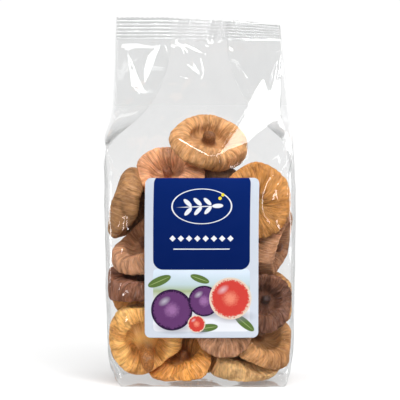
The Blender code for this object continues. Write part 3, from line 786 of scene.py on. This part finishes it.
def head_creases(x, z):
    """The facets of the front of the head, and the thin creases on them."""
    spots = list(LARGE_FACET)
    heights = [float(large_facet(np.array([a]), np.array([b]))[0]) for a, b in spots]
    edges = [(k, (k + 1) % len(spots)) for k in range(len(spots))]
    for chain in HEAD_CREASES:
        edges += [(len(spots) + k, len(spots) + k + 1) for k in range(len(chain) - 1)]
        spots += [(a, b) for a, b, _ in chain]
        heights += [c for _, _, c in chain]
    folded = facets(spots, heights, x, z, edges)
    total = np.where(inside_corners(LARGE_FACET, x, z), large_facet(x, z), folded)
    for height, width, line in THIN_CREASES:
        total += height * np.maximum(0, 1 - line_distance(x, z, line) / width)
    return total


def facets(spots, heights, x, z, edges=()):
    """Flat facets between spots, which meet in creases: the height over each sample."""
    flat = [Vector((float(a), float(b))) for a, b in spots]
    made, _, triangles, origins, *_ = delaunay_2d_cdt(flat, list(edges), [], 0, 1e-4, True)
    heights = [heights[own[0]] if own else 0.0 for own in origins]
    spots = [(spot.x, spot.y) for spot in made]
    total = np.zeros(x.shape)
    for a, b, c in triangles:
        (ax, az), (bx, bz), (cx, cz) = spots[a], spots[b], spots[c]
        area = (bx - ax) * (cz - az) - (cx - ax) * (bz - az)
        if abs(area) < 1e-9:
            continue
        near = ((x >= min(ax, bx, cx) - 0.01) & (x <= max(ax, bx, cx) + 0.01)
                & (z >= min(az, bz, cz) - 0.01) & (z <= max(az, bz, cz) + 0.01))
        px, pz = x[near], z[near]
        u = ((bx - px) * (cz - pz) - (cx - px) * (bz - pz)) / area
        v = ((cx - px) * (az - pz) - (ax - px) * (cz - pz)) / area
        inside = (u >= -1e-6) & (v >= -1e-6) & (u + v <= 1 + 1e-6)
        value = u * heights[a] + v * heights[b] + (1 - u - v) * heights[c]
        total[near] = np.where(inside, value, total[near])
    return total


def crumple(along, z, step, seed):
    """A net of creases with about this step, with heights from -1 to 1."""
    draw = np.random.default_rng(seed)
    spots = []
    for a in np.arange(-2 * step, along.max() + 3 * step, step):
        for b in np.arange(-2 * step, 230 + 3 * step, step * 1.2):
            spots.append((a + draw.uniform(-0.42, 0.42) * step, b + draw.uniform(-0.42, 0.42) * step))
    return facets(spots, draw.uniform(-1, 1, len(spots)), along, z)


def label_shield(x, z, margin):
    """1 over the label, falling to 0 at a margin round it."""
    across = np.abs(x - LABEL_X) - LABEL_WIDTH / 2
    upward = np.abs(z - LABEL_Z) - LABEL_HEIGHT / 2
    return fade(0.5, margin, np.maximum(across, upward))


def room_inside(points, normals, figs, skip):
    """How far each point of the film can move inwards before it meets a fig."""
    corners, faces = [], []
    for grid in figs:
        faces += ring_faces(*grid.shape[:2], len(corners))
        corners += grid.reshape(-1, 3).tolist()
    tree = BVHTree.FromPolygons(corners, faces)
    room = np.full(points.shape[:2], MOST_ROOM)
    for i, j in np.ndindex(*room.shape):
        if skip[i, j]:
            continue
        start = Vector(points[i, j] + normals[i, j] * RAY_START)
        hit = tree.ray_cast(start, Vector(-normals[i, j]), RAY_LENGTH)
        if hit[0] is not None:
            room[i, j] = hit[3] - RAY_START
    return room - FIG_CLEARANCE


def neighbours(depth):
    """The sum of the four neighbours of each point of a sheet that closes round each row."""
    around = np.roll(depth, 1, 1) + np.roll(depth, -1, 1)
    return around + np.concatenate([depth[1:], depth[-1:]]) + np.concatenate([depth[:1], depth[:-1]])


def sunken(room, free, z):
    """How deep the film is drawn in where it is free to be, resting on the figs. It is below 0 where a fig
    pushes it out. The sheet is stretched first, and then its small kinks are smoothed out."""
    limit = np.where(room > 0, np.minimum(room, SAG_LIMIT) * free, room)
    depth = np.zeros_like(limit)
    for _ in range(STRETCH_ROUNDS):
        depth = np.minimum(neighbours(depth) / 4 + SAG_PULL * free, limit)
        depth[0] = 0
    for _ in range(SMOOTH_ROUNDS):
        depth = (2 * depth + neighbours(depth)) / 6
    depth = np.minimum(depth, limit + 0.25)
    return np.maximum(depth, -MOST_ROOM * fade(112, 126, z))


def lean_seal(points):
    """Tips the flat seal back, more towards its right end."""
    x, z = points[..., 0], points[..., 2]
    hinge = x * math.tan(math.radians(float(profile("twist", SEAL_Z))))
    y = points[..., 1] - hinge
    above = np.maximum(z - SEAL_Z, 0)
    share = np.clip((x - SEAL_LEFT) / SEAL_WIDTH, 0, 1)
    angle = np.radians(SEAL_LEAN_LEFT + (SEAL_LEAN_RIGHT - SEAL_LEAN_LEFT) * share**1.6)
    up = z > SEAL_Z
    new_y = np.where(up, y * np.cos(angle) + above * np.sin(angle), y)
    new_z = np.where(up, SEAL_Z + above * np.cos(angle) - y * np.sin(angle), z)
    return np.stack([x, new_y + hinge, new_z], axis=-1)


def seal_ribs(z):
    """The wave of the ribs pressed into the seal, from -1 to 1."""
    return np.cos((z - SEAL_Z) / SEAL_RIB_STEP * 2 * math.pi)


def seal_relief(x, z):
    """Ribs pressed into the seal, and the pleats that were caught in it."""
    inside = smoothstep(SEAL_Z + 0.6, SEAL_Z + 1.6, z) * fade(223.5, 225.0, z)
    pleats = np.zeros_like(x)
    for place, width, height in PLEATS:
        slant = place + PLEAT_SLANT * (z - PLEAT_FOOT)
        pleats += height * np.maximum(0, 1 - np.abs(x - slant) / width)
    wave = 0.6 * sheet_noise(x / 17, z / 60, 3) + 0.25 * sheet_noise(x / 5, z / 30, 4)
    calm = 1 - 0.85 * smoothstep(12, 24, x)
    waves = smoothstep(207, 213, z) * wave * calm
    return SEAL_RIB_HEIGHT * seal_ribs(z) * inside + waves + smoothstep(208.5, 213, z) * pleats


def fold_room(x, z):
    """How far the panels can sink before they meet the side folds, or each other."""
    corner = half_width(x, z)
    stand = np.minimum(profile("side", z), -1e-3)
    tucked = np.clip((corner - np.abs(x)) / -stand, 0, 1)
    return panel_depth(x, z) - profile("depth", z) * (1 - tucked)


def film_creases(x, z, along, part, shield, tucked):
    """How far the creases in every part of the film stand out of it."""
    front, back = part == "front", part == "back"
    panel = front | back
    head = smoothstep(118, 150, z)
    above_foot = smoothstep(1, 8, z)
    belly = panel * (1 - head) * above_foot
    sides = ~panel * tucked * fade(196, 206, z) * smoothstep(1, 6, np.abs(x))
    nets = [crumple(along, z, step, seed) for step, seed in CRUMPLE_NETS]
    amounts = (
        ((0.10, 0.06, 0.02), panel * head * fade(203, 211, z) * (1 + 9 * back)),
        ((0.50, 0.50, 0.16), belly * (1 - shield)),
        ((0.00, 0.35, 0.14), ~panel * above_foot * (1 - tucked)),
        ((0.00, 0.55, 0.22), belly * smoothstep(36, 46, np.abs(x))),
        ((0.00, 0.70, 0.45), smoothstep(0.5, 3, z) * fade(7, 20, z)),
        ((0.00, 0.30, 0.00), sides),
    )
    creased = sum(share * net * where for shares, where in amounts for share, net in zip(shares, nets))
    in_front = front * (1 - label_shield(x, z, 9.0)) * smoothstep(106, 122, z) * fade(206, 211, z)
    creased += head_creases(x, z) * in_front
    strip = back * fade(BACK_SEAM_HALF - 0.5, BACK_SEAM_HALF, np.abs(x)) * smoothstep(1, 4, z)
    ribs = np.cos(x * 2 * math.pi / BACK_SEAM_RIB_STEP)
    creased += strip * (BACK_SEAM_RISE + BACK_SEAM_RIB_HEIGHT * ribs)
    return creased * smoothstep(0, 4, along) * smoothstep(0, 4, along[:, -1:] - along)


def film_points(figs):
    """The film's points, creased, sunk in between the figs and ribbed in the seal."""
    flat, part = film_base()
    x, z = flat[..., 0], flat[..., 2]
    steps = np.linalg.norm(np.diff(flat, axis=1), axis=2)
    along = np.concatenate([np.zeros((len(flat), 1)), np.cumsum(steps, axis=1)], axis=1)
    base = twist(flat, z)
    normals = ring_normals(base)
    front = part == "front"
    panel = front | (part == "back")
    shield = front * label_shield(x, z, 14.0)
    tucked = ~panel * smoothstep(136, 156, z)
    free = (1 - shield) * smoothstep(1.0, 9.0, z) * fade(126, 146, z) * (1 - tucked)
    free = free * np.where(panel, 1.0, SIDE_FREEDOM)
    room = room_inside(base, normals, figs, z > FIGS_TOP)
    depth = sunken(room, free, z)
    creased = film_creases(x, z, along, part, shield, tucked)
    pushed_out = creased - depth
    kept = np.maximum(creased, np.minimum(creased, 0) - depth)
    offset = pushed_out + front * smoothstep(120, 134, z) * (kept - pushed_out)
    lowest = np.where(z < 176, -room, -MOST_ROOM)
    lowest = np.where(panel & (z > 140), np.maximum(lowest, -0.55 * fold_room(x, z)), lowest)
    offset = np.maximum(offset, lowest)
    under_label = front & (label_shield(x, z, 1.5) > 0.5)
    offset = np.where(under_label, np.minimum(offset, 0.1), offset)
    moved = base + normals * offset[..., None]
    moved[..., 1] += seal_relief(x, z)
    teeth = np.abs((x / TOOTH_STEP) % 1 - 0.5) * (2.6 + 1.2 * sheet_noise(x / 9, 0 * x, 44))
    moved[..., 2] -= teeth * smoothstep(SEAL_TOP - 1.3, SEAL_TOP, z)
    return lean_seal(moved), part


def bottom_rows(foot):
    """The folded bottom, from its edge in to the fold along its middle."""
    share = np.linspace(0, 1, BOTTOM_ROWS + 1)[1:, None]
    x = foot[None, :, 0] * (1 - (1 - BOTTOM_FOLD_SHARE) * share)
    y = foot[None, :, 1] * (1 - share) + 0.01 * np.sign(foot[None, :, 1])
    rise = 0.15 + 0.3 * np.abs(sheet_noise(x / 14, y / 14, 9)) * np.sin(share * math.pi)
    return np.stack([x, y, rise], axis=2)[::-1]


def film_material():
    """Clear film: each layer passes most of the light and mirrors the lamps. Pressed ribs scatter more."""
    n = Nodes(bpy.data.materials.new("clear_film"))
    n.tree.nodes.remove(n.shader)
    haze = n.times(n.minus(n.noise(55, 4, 0.6), 0.5), 0.05)
    # Painted lightening: the tucked side folds of the head get a clearer tint, standing in for the lamps
    # they mirror.
    tint = n.plus(n.scaled(n.value("tucked"), 0.072, 0.926), haze)
    tint = n.minus(tint, n.times(n.value("pressed"), 0.055), clamp=True)
    colour = n.mix(tint, (0.0, 0.0, 0.0), (0.998, 1.0, 1.0))
    clear = n.fill(n.add("ShaderNodeBsdfTransparent"), {"Color": colour})
    rough = n.ramp(n.noise(300, 3), (0.3, 0.03), (0.7, 0.075))
    gloss = n.fill(n.add("ShaderNodeBsdfGlossy"), {"Color": (1.0, 1.0, 1.0), "Roughness": rough})
    edge = n.add("ShaderNodeLayerWeight").outputs["Facing"]
    # Painted lightening: the tucked side folds also mirror less of the dim room in front.
    least = n.scaled(n.value("tucked"), -0.042, 0.06)
    mirror = n.scaled(n.math("POWER", edge, 5.0), 0.90, least, clamp=True)
    layers = {0: mirror, 1: clear.outputs[0], 2: gloss.outputs[0]}
    mixed = n.fill(n.add("ShaderNodeMixShader"), layers)
    n.link(mixed.outputs[0], n.tree.nodes["Material Output"].inputs["Surface"])
    return n.owner


def build_film(figs):
    grid, part = film_points(figs)
    level = np.broadcast_to(film_heights()[:, None], part.shape)
    # Where the side folds are tucked in the head; the film's tint is painted lighter there.
    tucked = ((part == "left") | (part == "right")) * smoothstep(140, 160, level)
    ribs = 0.5 + 0.5 * seal_ribs(level)
    deeper = 1 + 1.6 * smoothstep(5, 35, grid[..., 0])
    pressed = smoothstep(SEAL_Z, SEAL_Z + 1, level) * (0.2 + 0.8 * ribs**2 * deeper)
    pressed = np.maximum(pressed, 0.9 * smoothstep(SEAL_TOP - 1.6, SEAL_TOP - 0.4, level))
    rows = np.concatenate([bottom_rows(grid[0]), grid])
    film = make_mesh("film", rows.reshape(-1, 3), ring_faces(*rows.shape[:2]))
    below = np.zeros((len(rows) - len(grid), rows.shape[1]))
    paint(film, "tucked", np.concatenate([below, tucked]).ravel())
    paint(film, "pressed", np.concatenate([below, pressed]).ravel())
    film.data.materials.append(film_material())
    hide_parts("film_bag")
    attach(film, "root")


# The paper label


LABEL_CELL = 0.5
LABEL_STANDS_OFF = 0.32
PAPER_THICKNESS = 0.14
PAPER = (0.49, 0.53, 0.595)
PAPER_WHITE = (0.66, 0.68, 0.72)
NAVY = (0.0005, 0.009, 0.080)
NAVY_LIGHT = (0.001, 0.014, 0.115)
GOLD_DOT = (0.72, 0.58, 0.035)
GREEN = (0.085, 0.14, 0.035)
GREEN_VEIN = (0.24, 0.32, 0.12)
SHADOW = (0.16, 0.15, 0.20)
# The print's boxes: across and up from the label's middle, width, height and corner radius.
PICTURE_BOX = (0.0, -25.6, 58.6, 38.2, 2.4)
PANEL_BOX = (0.0, 22.0, 58.6, 58.0, 6.0)
RULE_BOX = (0.0, 5.6, 34.0, 0.6)
# The row of small squares: how far up it is, its width and height, the step, and half a square's diagonal.
SQUARES_Z = 12.0
SQUARES_SIZE = (40.0, 8.0)
SQUARES_STEP = 5.0
SQUARES_REACH = 1.9
OVAL = (0.0, 31.5, 36.0, 21.0)
OVAL_HALF_LINE = 0.30
# The ground behind the fruit, from its lower edge up.
GROUND = (
    (0.0, PAPER_WHITE), (0.55, (0.60, 0.60, 0.64)), (0.70, (0.30, 0.36, 0.20)), (0.80, (0.42, 0.52, 0.55)),
    (1.0, (0.56, 0.64, 0.74)),
)
# Leaves on the label: across and up from its middle, length, width and turn in degrees.
PALE_LEAVES = (
    (-8.6, 33.6, 6.2, 2.5, -42.0), (-8.2, 28.4, 6.2, 2.5, 48.0), (-2.6, 34.2, 6.4, 2.5, -42.0),
    (-2.2, 28.8, 6.4, 2.5, 48.0), (3.4, 34.4, 6.0, 2.4, -42.0), (3.8, 29.2, 6.0, 2.4, 48.0),
    (9.6, 31.8, 6.6, 2.6, 3.0), (-2.0, 31.3, 22.0, 0.6, 2.0),
)
GREEN_LEAVES = (
    (-25.5, -14.0, 15.0, 5.4, 24.0), (26.0, -39.5, 15.0, 5.2, -40.0), (3.0, -42.5, 14.0, 4.8, 8.0),
    (-1.0, -12.5, 12.0, 4.4, -20.0),
)
GOLD_DOTS = ((12.6, 38.4, 1.0), (10.9, 36.4, 1.0))
# Round fruit on the label: across, up, radius, then the colours of its rim, body and middle.
PLUM = ((0.022, 0.008, 0.035), (0.105, 0.035, 0.125), (0.26, 0.12, 0.28))
ROSE = ((0.62, 0.50, 0.40), (0.50, 0.045, 0.035), (0.66, 0.20, 0.13))
LABEL_FRUIT = (
    (-18.0, -31.5, 12.6, PLUM), (1.5, -26.0, 9.4, PLUM),
    (17.5, -24.5, 12.8, ROSE), (-3.0, -40.0, 5.4, ROSE),
)


class LabelPrint:
    """Flat shapes with crisp edges, in millimetres from the middle of the label."""

    def __init__(self, n):
        self.n = n
        self.x = n.value("label_x")
        self.z = n.value("label_z")

    def edge(self, inside, soft=0.16):
        """1 where the value is above zero, over a soft edge."""
        return self.n.scaled(inside, 1 / soft, 0.5, clamp=True)

    def box(self, middle_x, middle_z, width, height, corner=0.0):
        n = self.n
        out_x = n.minus(n.size(n.minus(self.x, middle_x)), width / 2 - corner)
        out_z = n.minus(n.size(n.minus(self.z, middle_z)), height / 2 - corner)
        if corner == 0.0:
            return self.edge(n.minus(0.0, n.math("MAXIMUM", out_x, out_z)))
        px = n.squared(n.math("MAXIMUM", out_x, 0.0))
        pz = n.squared(n.math("MAXIMUM", out_z, 0.0))
        return self.edge(n.minus(corner, n.math("SQRT", n.plus(px, pz))))

    def reach(self, x, z, width, height, turn=0.0):
        """Distance from a spot, where 1 is the rim of an ellipse that may be turned."""
        n = self.n
        c, s = math.cos(math.radians(turn)), math.sin(math.radians(turn))
        dx, dz = n.minus(self.x, x), n.minus(self.z, z)
        along = n.plus(n.times(dx, c), n.times(dz, s))
        across = n.minus(n.times(dz, c), n.times(dx, s))
        along = n.squared(n.size(n.math("DIVIDE", along, width / 2)))
        across = n.squared(n.size(n.math("DIVIDE", across, height / 2)))
        return n.math("SQRT", n.plus(along, across))

    def inside(self, reach, half):
        """1 inside the rim of a shape of this half width."""
        return self.edge(self.n.times(self.n.minus(1.0, reach), half))

    def leaf(self, x, z, length, width, turn):
        return self.inside(self.reach(x, z, length, width, turn), width / 2)

    def dot(self, x, z, radius):
        return self.inside(self.reach(x, z, 2 * radius, 2 * radius), radius)

    def glow(self, strength, *ellipse):
        """A soft spot, strongest in its middle."""
        n = self.n
        return n.times(n.minus(1.0, self.reach(*ellipse), clamp=True), strength, clamp=True)


def fruit_skin(draw, x, z, radius, rim, body, middle):
    """A fruit's colours from its middle to its rim, with a soft shine on its upper side."""
    n = draw.n
    seeds = n.times(n.minus(n.noise(1100.0, 2.0), 0.5), 0.35)
    across = n.plus(draw.reach(x, z, 2 * radius, 2 * radius), seeds)
    skin = n.ramp(across, (0.12, middle), (0.42, body), (0.84, body), (0.93, rim))
    shine = draw.glow(0.5, x - radius * 0.35, z + radius * 0.42, radius * 0.7, radius * 0.4, 35)
    return n.mix(shine, skin, PAPER_WHITE)


def row_of_squares(draw):
    """Small squares that stand on their corners, side by side."""
    n = draw.n
    beads = n.times(n.math("FRACT", n.times(draw.x, 1 / SQUARES_STEP)), SQUARES_STEP)
    beads = n.size(n.minus(beads, SQUARES_STEP / 2))
    away = n.plus(beads, n.size(n.minus(draw.z, SQUARES_Z)))
    return n.times(draw.edge(n.minus(SQUARES_REACH, away)), draw.box(0.0, SQUARES_Z, *SQUARES_SIZE))


def label_colours(n):
    """A generic print: a navy panel with pale leaves above, and round fruit on a pale ground below."""
    draw = LabelPrint(n)
    ground = n.ramp(n.scaled(draw.z, 1 / 40.0, 1.2), *GROUND)
    colour = n.mix(draw.box(*PICTURE_BOX), PAPER, ground)
    for x, z, length, width, turn in GREEN_LEAVES:
        green = n.mix(draw.leaf(x, z, length * 0.9, 0.5, turn), GREEN, GREEN_VEIN)
        colour = n.mix(draw.leaf(x, z, length, width, turn), colour, green)
    for x, z, radius, _ in LABEL_FRUIT:
        shadow = draw.glow(0.9, x + 1.5, z - 0.85 * radius, 2.3 * radius, 0.75 * radius)
        colour = n.mix(shadow, colour, SHADOW)
    for x, z, radius, colours in LABEL_FRUIT:
        colour = n.mix(draw.dot(x, z, radius), colour, fruit_skin(draw, x, z, radius, *colours))
    navy = n.ramp(n.scaled(draw.z, 1 / 56.0, 0.13), (0.0, NAVY), (1.0, NAVY_LIGHT))
    colour = n.mix(draw.box(*PANEL_BOX), colour, navy)
    from_oval = n.size(n.times(n.minus(draw.reach(*OVAL), 1.0), 13.0))
    pale = [draw.edge(n.minus(OVAL_HALF_LINE, from_oval))]
    pale += [draw.leaf(*leaf) for leaf in PALE_LEAVES]
    pale += [row_of_squares(draw), draw.box(*RULE_BOX)]
    for shape in pale:
        colour = n.mix(shape, colour, PAPER_WHITE)
    for spot in GOLD_DOTS:
        colour = n.mix(draw.dot(*spot), colour, GOLD_DOT)
    return colour


def label_material():
    """Coated paper: a satin print with the faint tooth of the sheet."""
    n = Nodes(bpy.data.materials.new("label_paper"))
    mottle = n.noise(2600, 4, 0.6)
    cloud = n.noise(90, 3, 0.5)
    tone = n.ramp(n.plus(n.times(mottle, 0.6), n.times(cloud, 0.4)), (0.3, 0.93), (0.7, 1.0))
    n.fill(n.shader, {
        "Base Color": n.mix(1.0, label_colours(n), tone, "MULTIPLY"),
        "Roughness": n.ramp(cloud, (0.3, 0.36), (0.7, 0.50)),
        "Specular IOR Level": 0.07,
        "Normal": n.bump(mottle, 0.25, 0.0001),
    })
    return n.owner


def label_grid():
    """Places across and up over the label, with its corners drawn in round."""
    half_x, half_z = LABEL_WIDTH / 2, LABEL_HEIGHT / 2
    across = np.linspace(-1, 1, int(LABEL_WIDTH / LABEL_CELL) + 1) * half_x
    upward = np.linspace(-1, 1, int(LABEL_HEIGHT / LABEL_CELL) + 1) * half_z
    x, z = np.meshgrid(across, upward)
    inner_x, inner_z = half_x - LABEL_CORNER, half_z - LABEL_CORNER
    over_x, over_z = np.abs(x) - inner_x, np.abs(z) - inner_z
    away = np.hypot(over_x, over_z)
    cut = (over_x > 0) & (over_z > 0) & (away > LABEL_CORNER)
    pull = LABEL_CORNER / np.maximum(away, 1e-6)
    return (np.where(cut, np.sign(x) * (inner_x + over_x * pull), x),
            np.where(cut, np.sign(z) * (inner_z + over_z * pull), z))


def sheet_faces(rows, columns):
    """Faces of the front and the back of a sheet, and of its rim."""
    total = rows * columns
    faces = []
    for i in range(rows - 1):
        for j in range(columns - 1):
            a = i * columns + j
            faces.append((a, a + 1, a + 1 + columns, a + columns))
            faces.append((a + total + columns, a + total + columns + 1, a + total + 1, a + total))
    edge = list(range(columns)) + [i * columns + columns - 1 for i in range(1, rows)]
    edge += [(rows - 1) * columns + j for j in range(columns - 2, -1, -1)]
    edge += [i * columns for i in range(rows - 2, 0, -1)]
    return faces + [(b, a, a + total, b + total) for a, b in zip(edge, edge[1:] + edge[:1])]


def build_label():
    x, z = label_grid()
    place_x, place_z = LABEL_X + x, LABEL_Z + z
    waves = 0.12 * sheet_noise(place_x / 24, place_z / 30, 41)
    y = -panel_depth(place_x, place_z) - LABEL_STANDS_OFF - PAPER_THICKNESS - waves
    front = twist(np.stack([place_x, y, place_z], -1), place_z)
    back = twist(np.stack([place_x, y + PAPER_THICKNESS, place_z], -1), place_z)
    points = np.concatenate([front.reshape(-1, 3), back.reshape(-1, 3)])
    label = make_mesh("label_sheet", points, sheet_faces(*x.shape))
    paint(label, "label_x", np.tile(x.ravel(), 2))
    paint(label, "label_z", np.tile(z.ravel(), 2))
    label.data.materials.append(label_material())
    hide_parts("label")
    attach(label, "root")


# Studio


CAMERA_DISTANCE = 1.3
CAMERA_TILT = 4.0
CAMERA_AIM = (0.0, 0.0, 0.1125)
SENSOR_WIDTH = 36.0
FRAME_WIDTH = 0.248
FLOOR_REACH = 7000.0
FLOOR_FRONT = -160.0
FLOOR_GREY = 0.42
FLOOR_GLOW = 0.42
FLOOR_GLOW_FROM = 0.12
FLOOR_GLOW_TO = 1.6
ROOM_LEVEL = 0.38
FRONT_LEVEL = 0.04
WHITE_LEVEL = 1.03
BACKDROP_FROM = 0.90
BACKDROP_TO = 0.985
WHITE = (1.0, 1.0, 1.0)
LAMP_AIM = (0.0, 0.0, 0.14)
# Lamp panels that face the bag: azimuth (0 is in front of the label, 90 to its right) and elevation in
# degrees, distance, width and height in metres, radiance, and whether the film mirrors them.
LAMPS = {
    "key": (37, 40, 1.6, 0.40, 0.72, 7.5, True),
    "left": (-92, 12, 1.3, 0.22, 1.0, 8, True),
    "right": (88, 12, 1.4, 0.22, 1.0, 8, True),
    "low_right": (34, 8, 1.6, 0.12, 0.5, 9, True),
    "low_left": (-42, 8, 1.6, 0.12, 0.5, 9, True),
    "above": (0, 82, 1.6, 1.2, 0.9, 4.5, True),
    "glint": (31, 65, 1.6, 0.22, 0.34, 12, True),
    "fill": (18, 46, 1.8, 0.8, 0.8, 9.0, False),
    "front": (-14, 12, 2.0, 0.7, 0.6, 5.5, False),
}


def build_camera():
    camera = bpy.data.objects.new("camera", bpy.data.cameras.new("camera"))
    bpy.context.scene.collection.objects.link(camera)
    tilt = math.radians(CAMERA_TILT)
    away = Vector((0, -math.cos(tilt), math.sin(tilt))) * CAMERA_DISTANCE
    camera.location = Vector(CAMERA_AIM) + away
    camera.rotation_euler = (math.pi / 2 - tilt, 0, 0)
    camera.data.sensor_width = SENSOR_WIDTH
    camera.data.lens = SENSOR_WIDTH * CAMERA_DISTANCE / FRAME_WIDTH
    camera.data.clip_end = 50
    bpy.context.scene.camera = camera


def build_world():
    """A white backdrop and an even room light. The film's gloss sees a dim room in front of the bag."""
    world = bpy.data.worlds.new("studio")
    bpy.context.scene.world = world
    n = Nodes(world)
    ray = n.add("ShaderNodeLightPath").outputs
    toward = n.add("ShaderNodeTexCoord").outputs["Generated"]
    toward = n.fill(n.add("ShaderNodeSeparateXYZ"), {0: toward}).outputs["Y"]
    room = n.eased(toward, BACKDROP_FROM, BACKDROP_TO, FRONT_LEVEL, WHITE_LEVEL)
    diffuse = n.choose(ray["Is Diffuse Ray"], WHITE_LEVEL, ROOM_LEVEL)
    strength = n.choose(ray["Is Glossy Ray"], diffuse, room)
    n.fill(n.tree.nodes["Background"], {"Strength": strength, "Color": WHITE})


def build_floor():
    """A pale floor, which glows a little more the farther it is, so that it runs into the white behind."""
    corners = [(x, y, 0) for x, y in ((-FLOOR_REACH, FLOOR_FRONT), (FLOOR_REACH, FLOOR_FRONT),
                                      (FLOOR_REACH, FLOOR_REACH), (-FLOOR_REACH, FLOOR_REACH))]
    floor = make_mesh("floor", corners, [(0, 1, 2, 3)])
    n = Nodes(bpy.data.materials.new("floor_paint"))
    place = n.add("ShaderNodeNewGeometry").outputs["Position"]
    away = n.fill(n.add("ShaderNodeVectorMath", operation="LENGTH"), {0: place}).outputs["Value"]
    far = WHITE_LEVEL - FLOOR_GREY * ROOM_LEVEL
    glow = n.eased(away, FLOOR_GLOW_FROM, FLOOR_GLOW_TO, FLOOR_GLOW, far)
    n.fill(n.shader, {
        "Base Color": (FLOOR_GREY,) * 3,
        "Roughness": 0.6,
        "Specular IOR Level": 0.0,
        "Emission Color": WHITE,
        "Emission Strength": glow,
    })
    floor.data.materials.append(n.owner)
    floor.visible_glossy = False


def build_lights():
    for name, (azimuth, elevation, distance, width, height, radiance, mirrored) in LAMPS.items():
        a, e = math.radians(azimuth), math.radians(elevation)
        away = Vector((math.cos(e) * math.sin(a), -math.cos(e) * math.cos(a), math.sin(e)))
        light = bpy.data.lights.new(name, "AREA")
        light.shape = "RECTANGLE"
        light.size, light.size_y = width, height
        light.energy = radiance * math.pi * width * height
        made = bpy.data.objects.new(name, light)
        bpy.context.scene.collection.objects.link(made)
        made.location = Vector(LAMP_AIM) + away * distance
        made.rotation_euler = (-away).to_track_quat("-Z", "Y").to_euler()
        made.visible_glossy = mirrored


def main():
    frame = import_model()
    scene = bpy.context.scene
    scene.view_settings.view_transform = "Standard"
    scene.cycles.transparent_max_bounces = 32
    build_camera()
    build_world()
    build_floor()
    build_lights()
    figs = build_figs(frame)
    build_label()
    build_film(figs)


main()
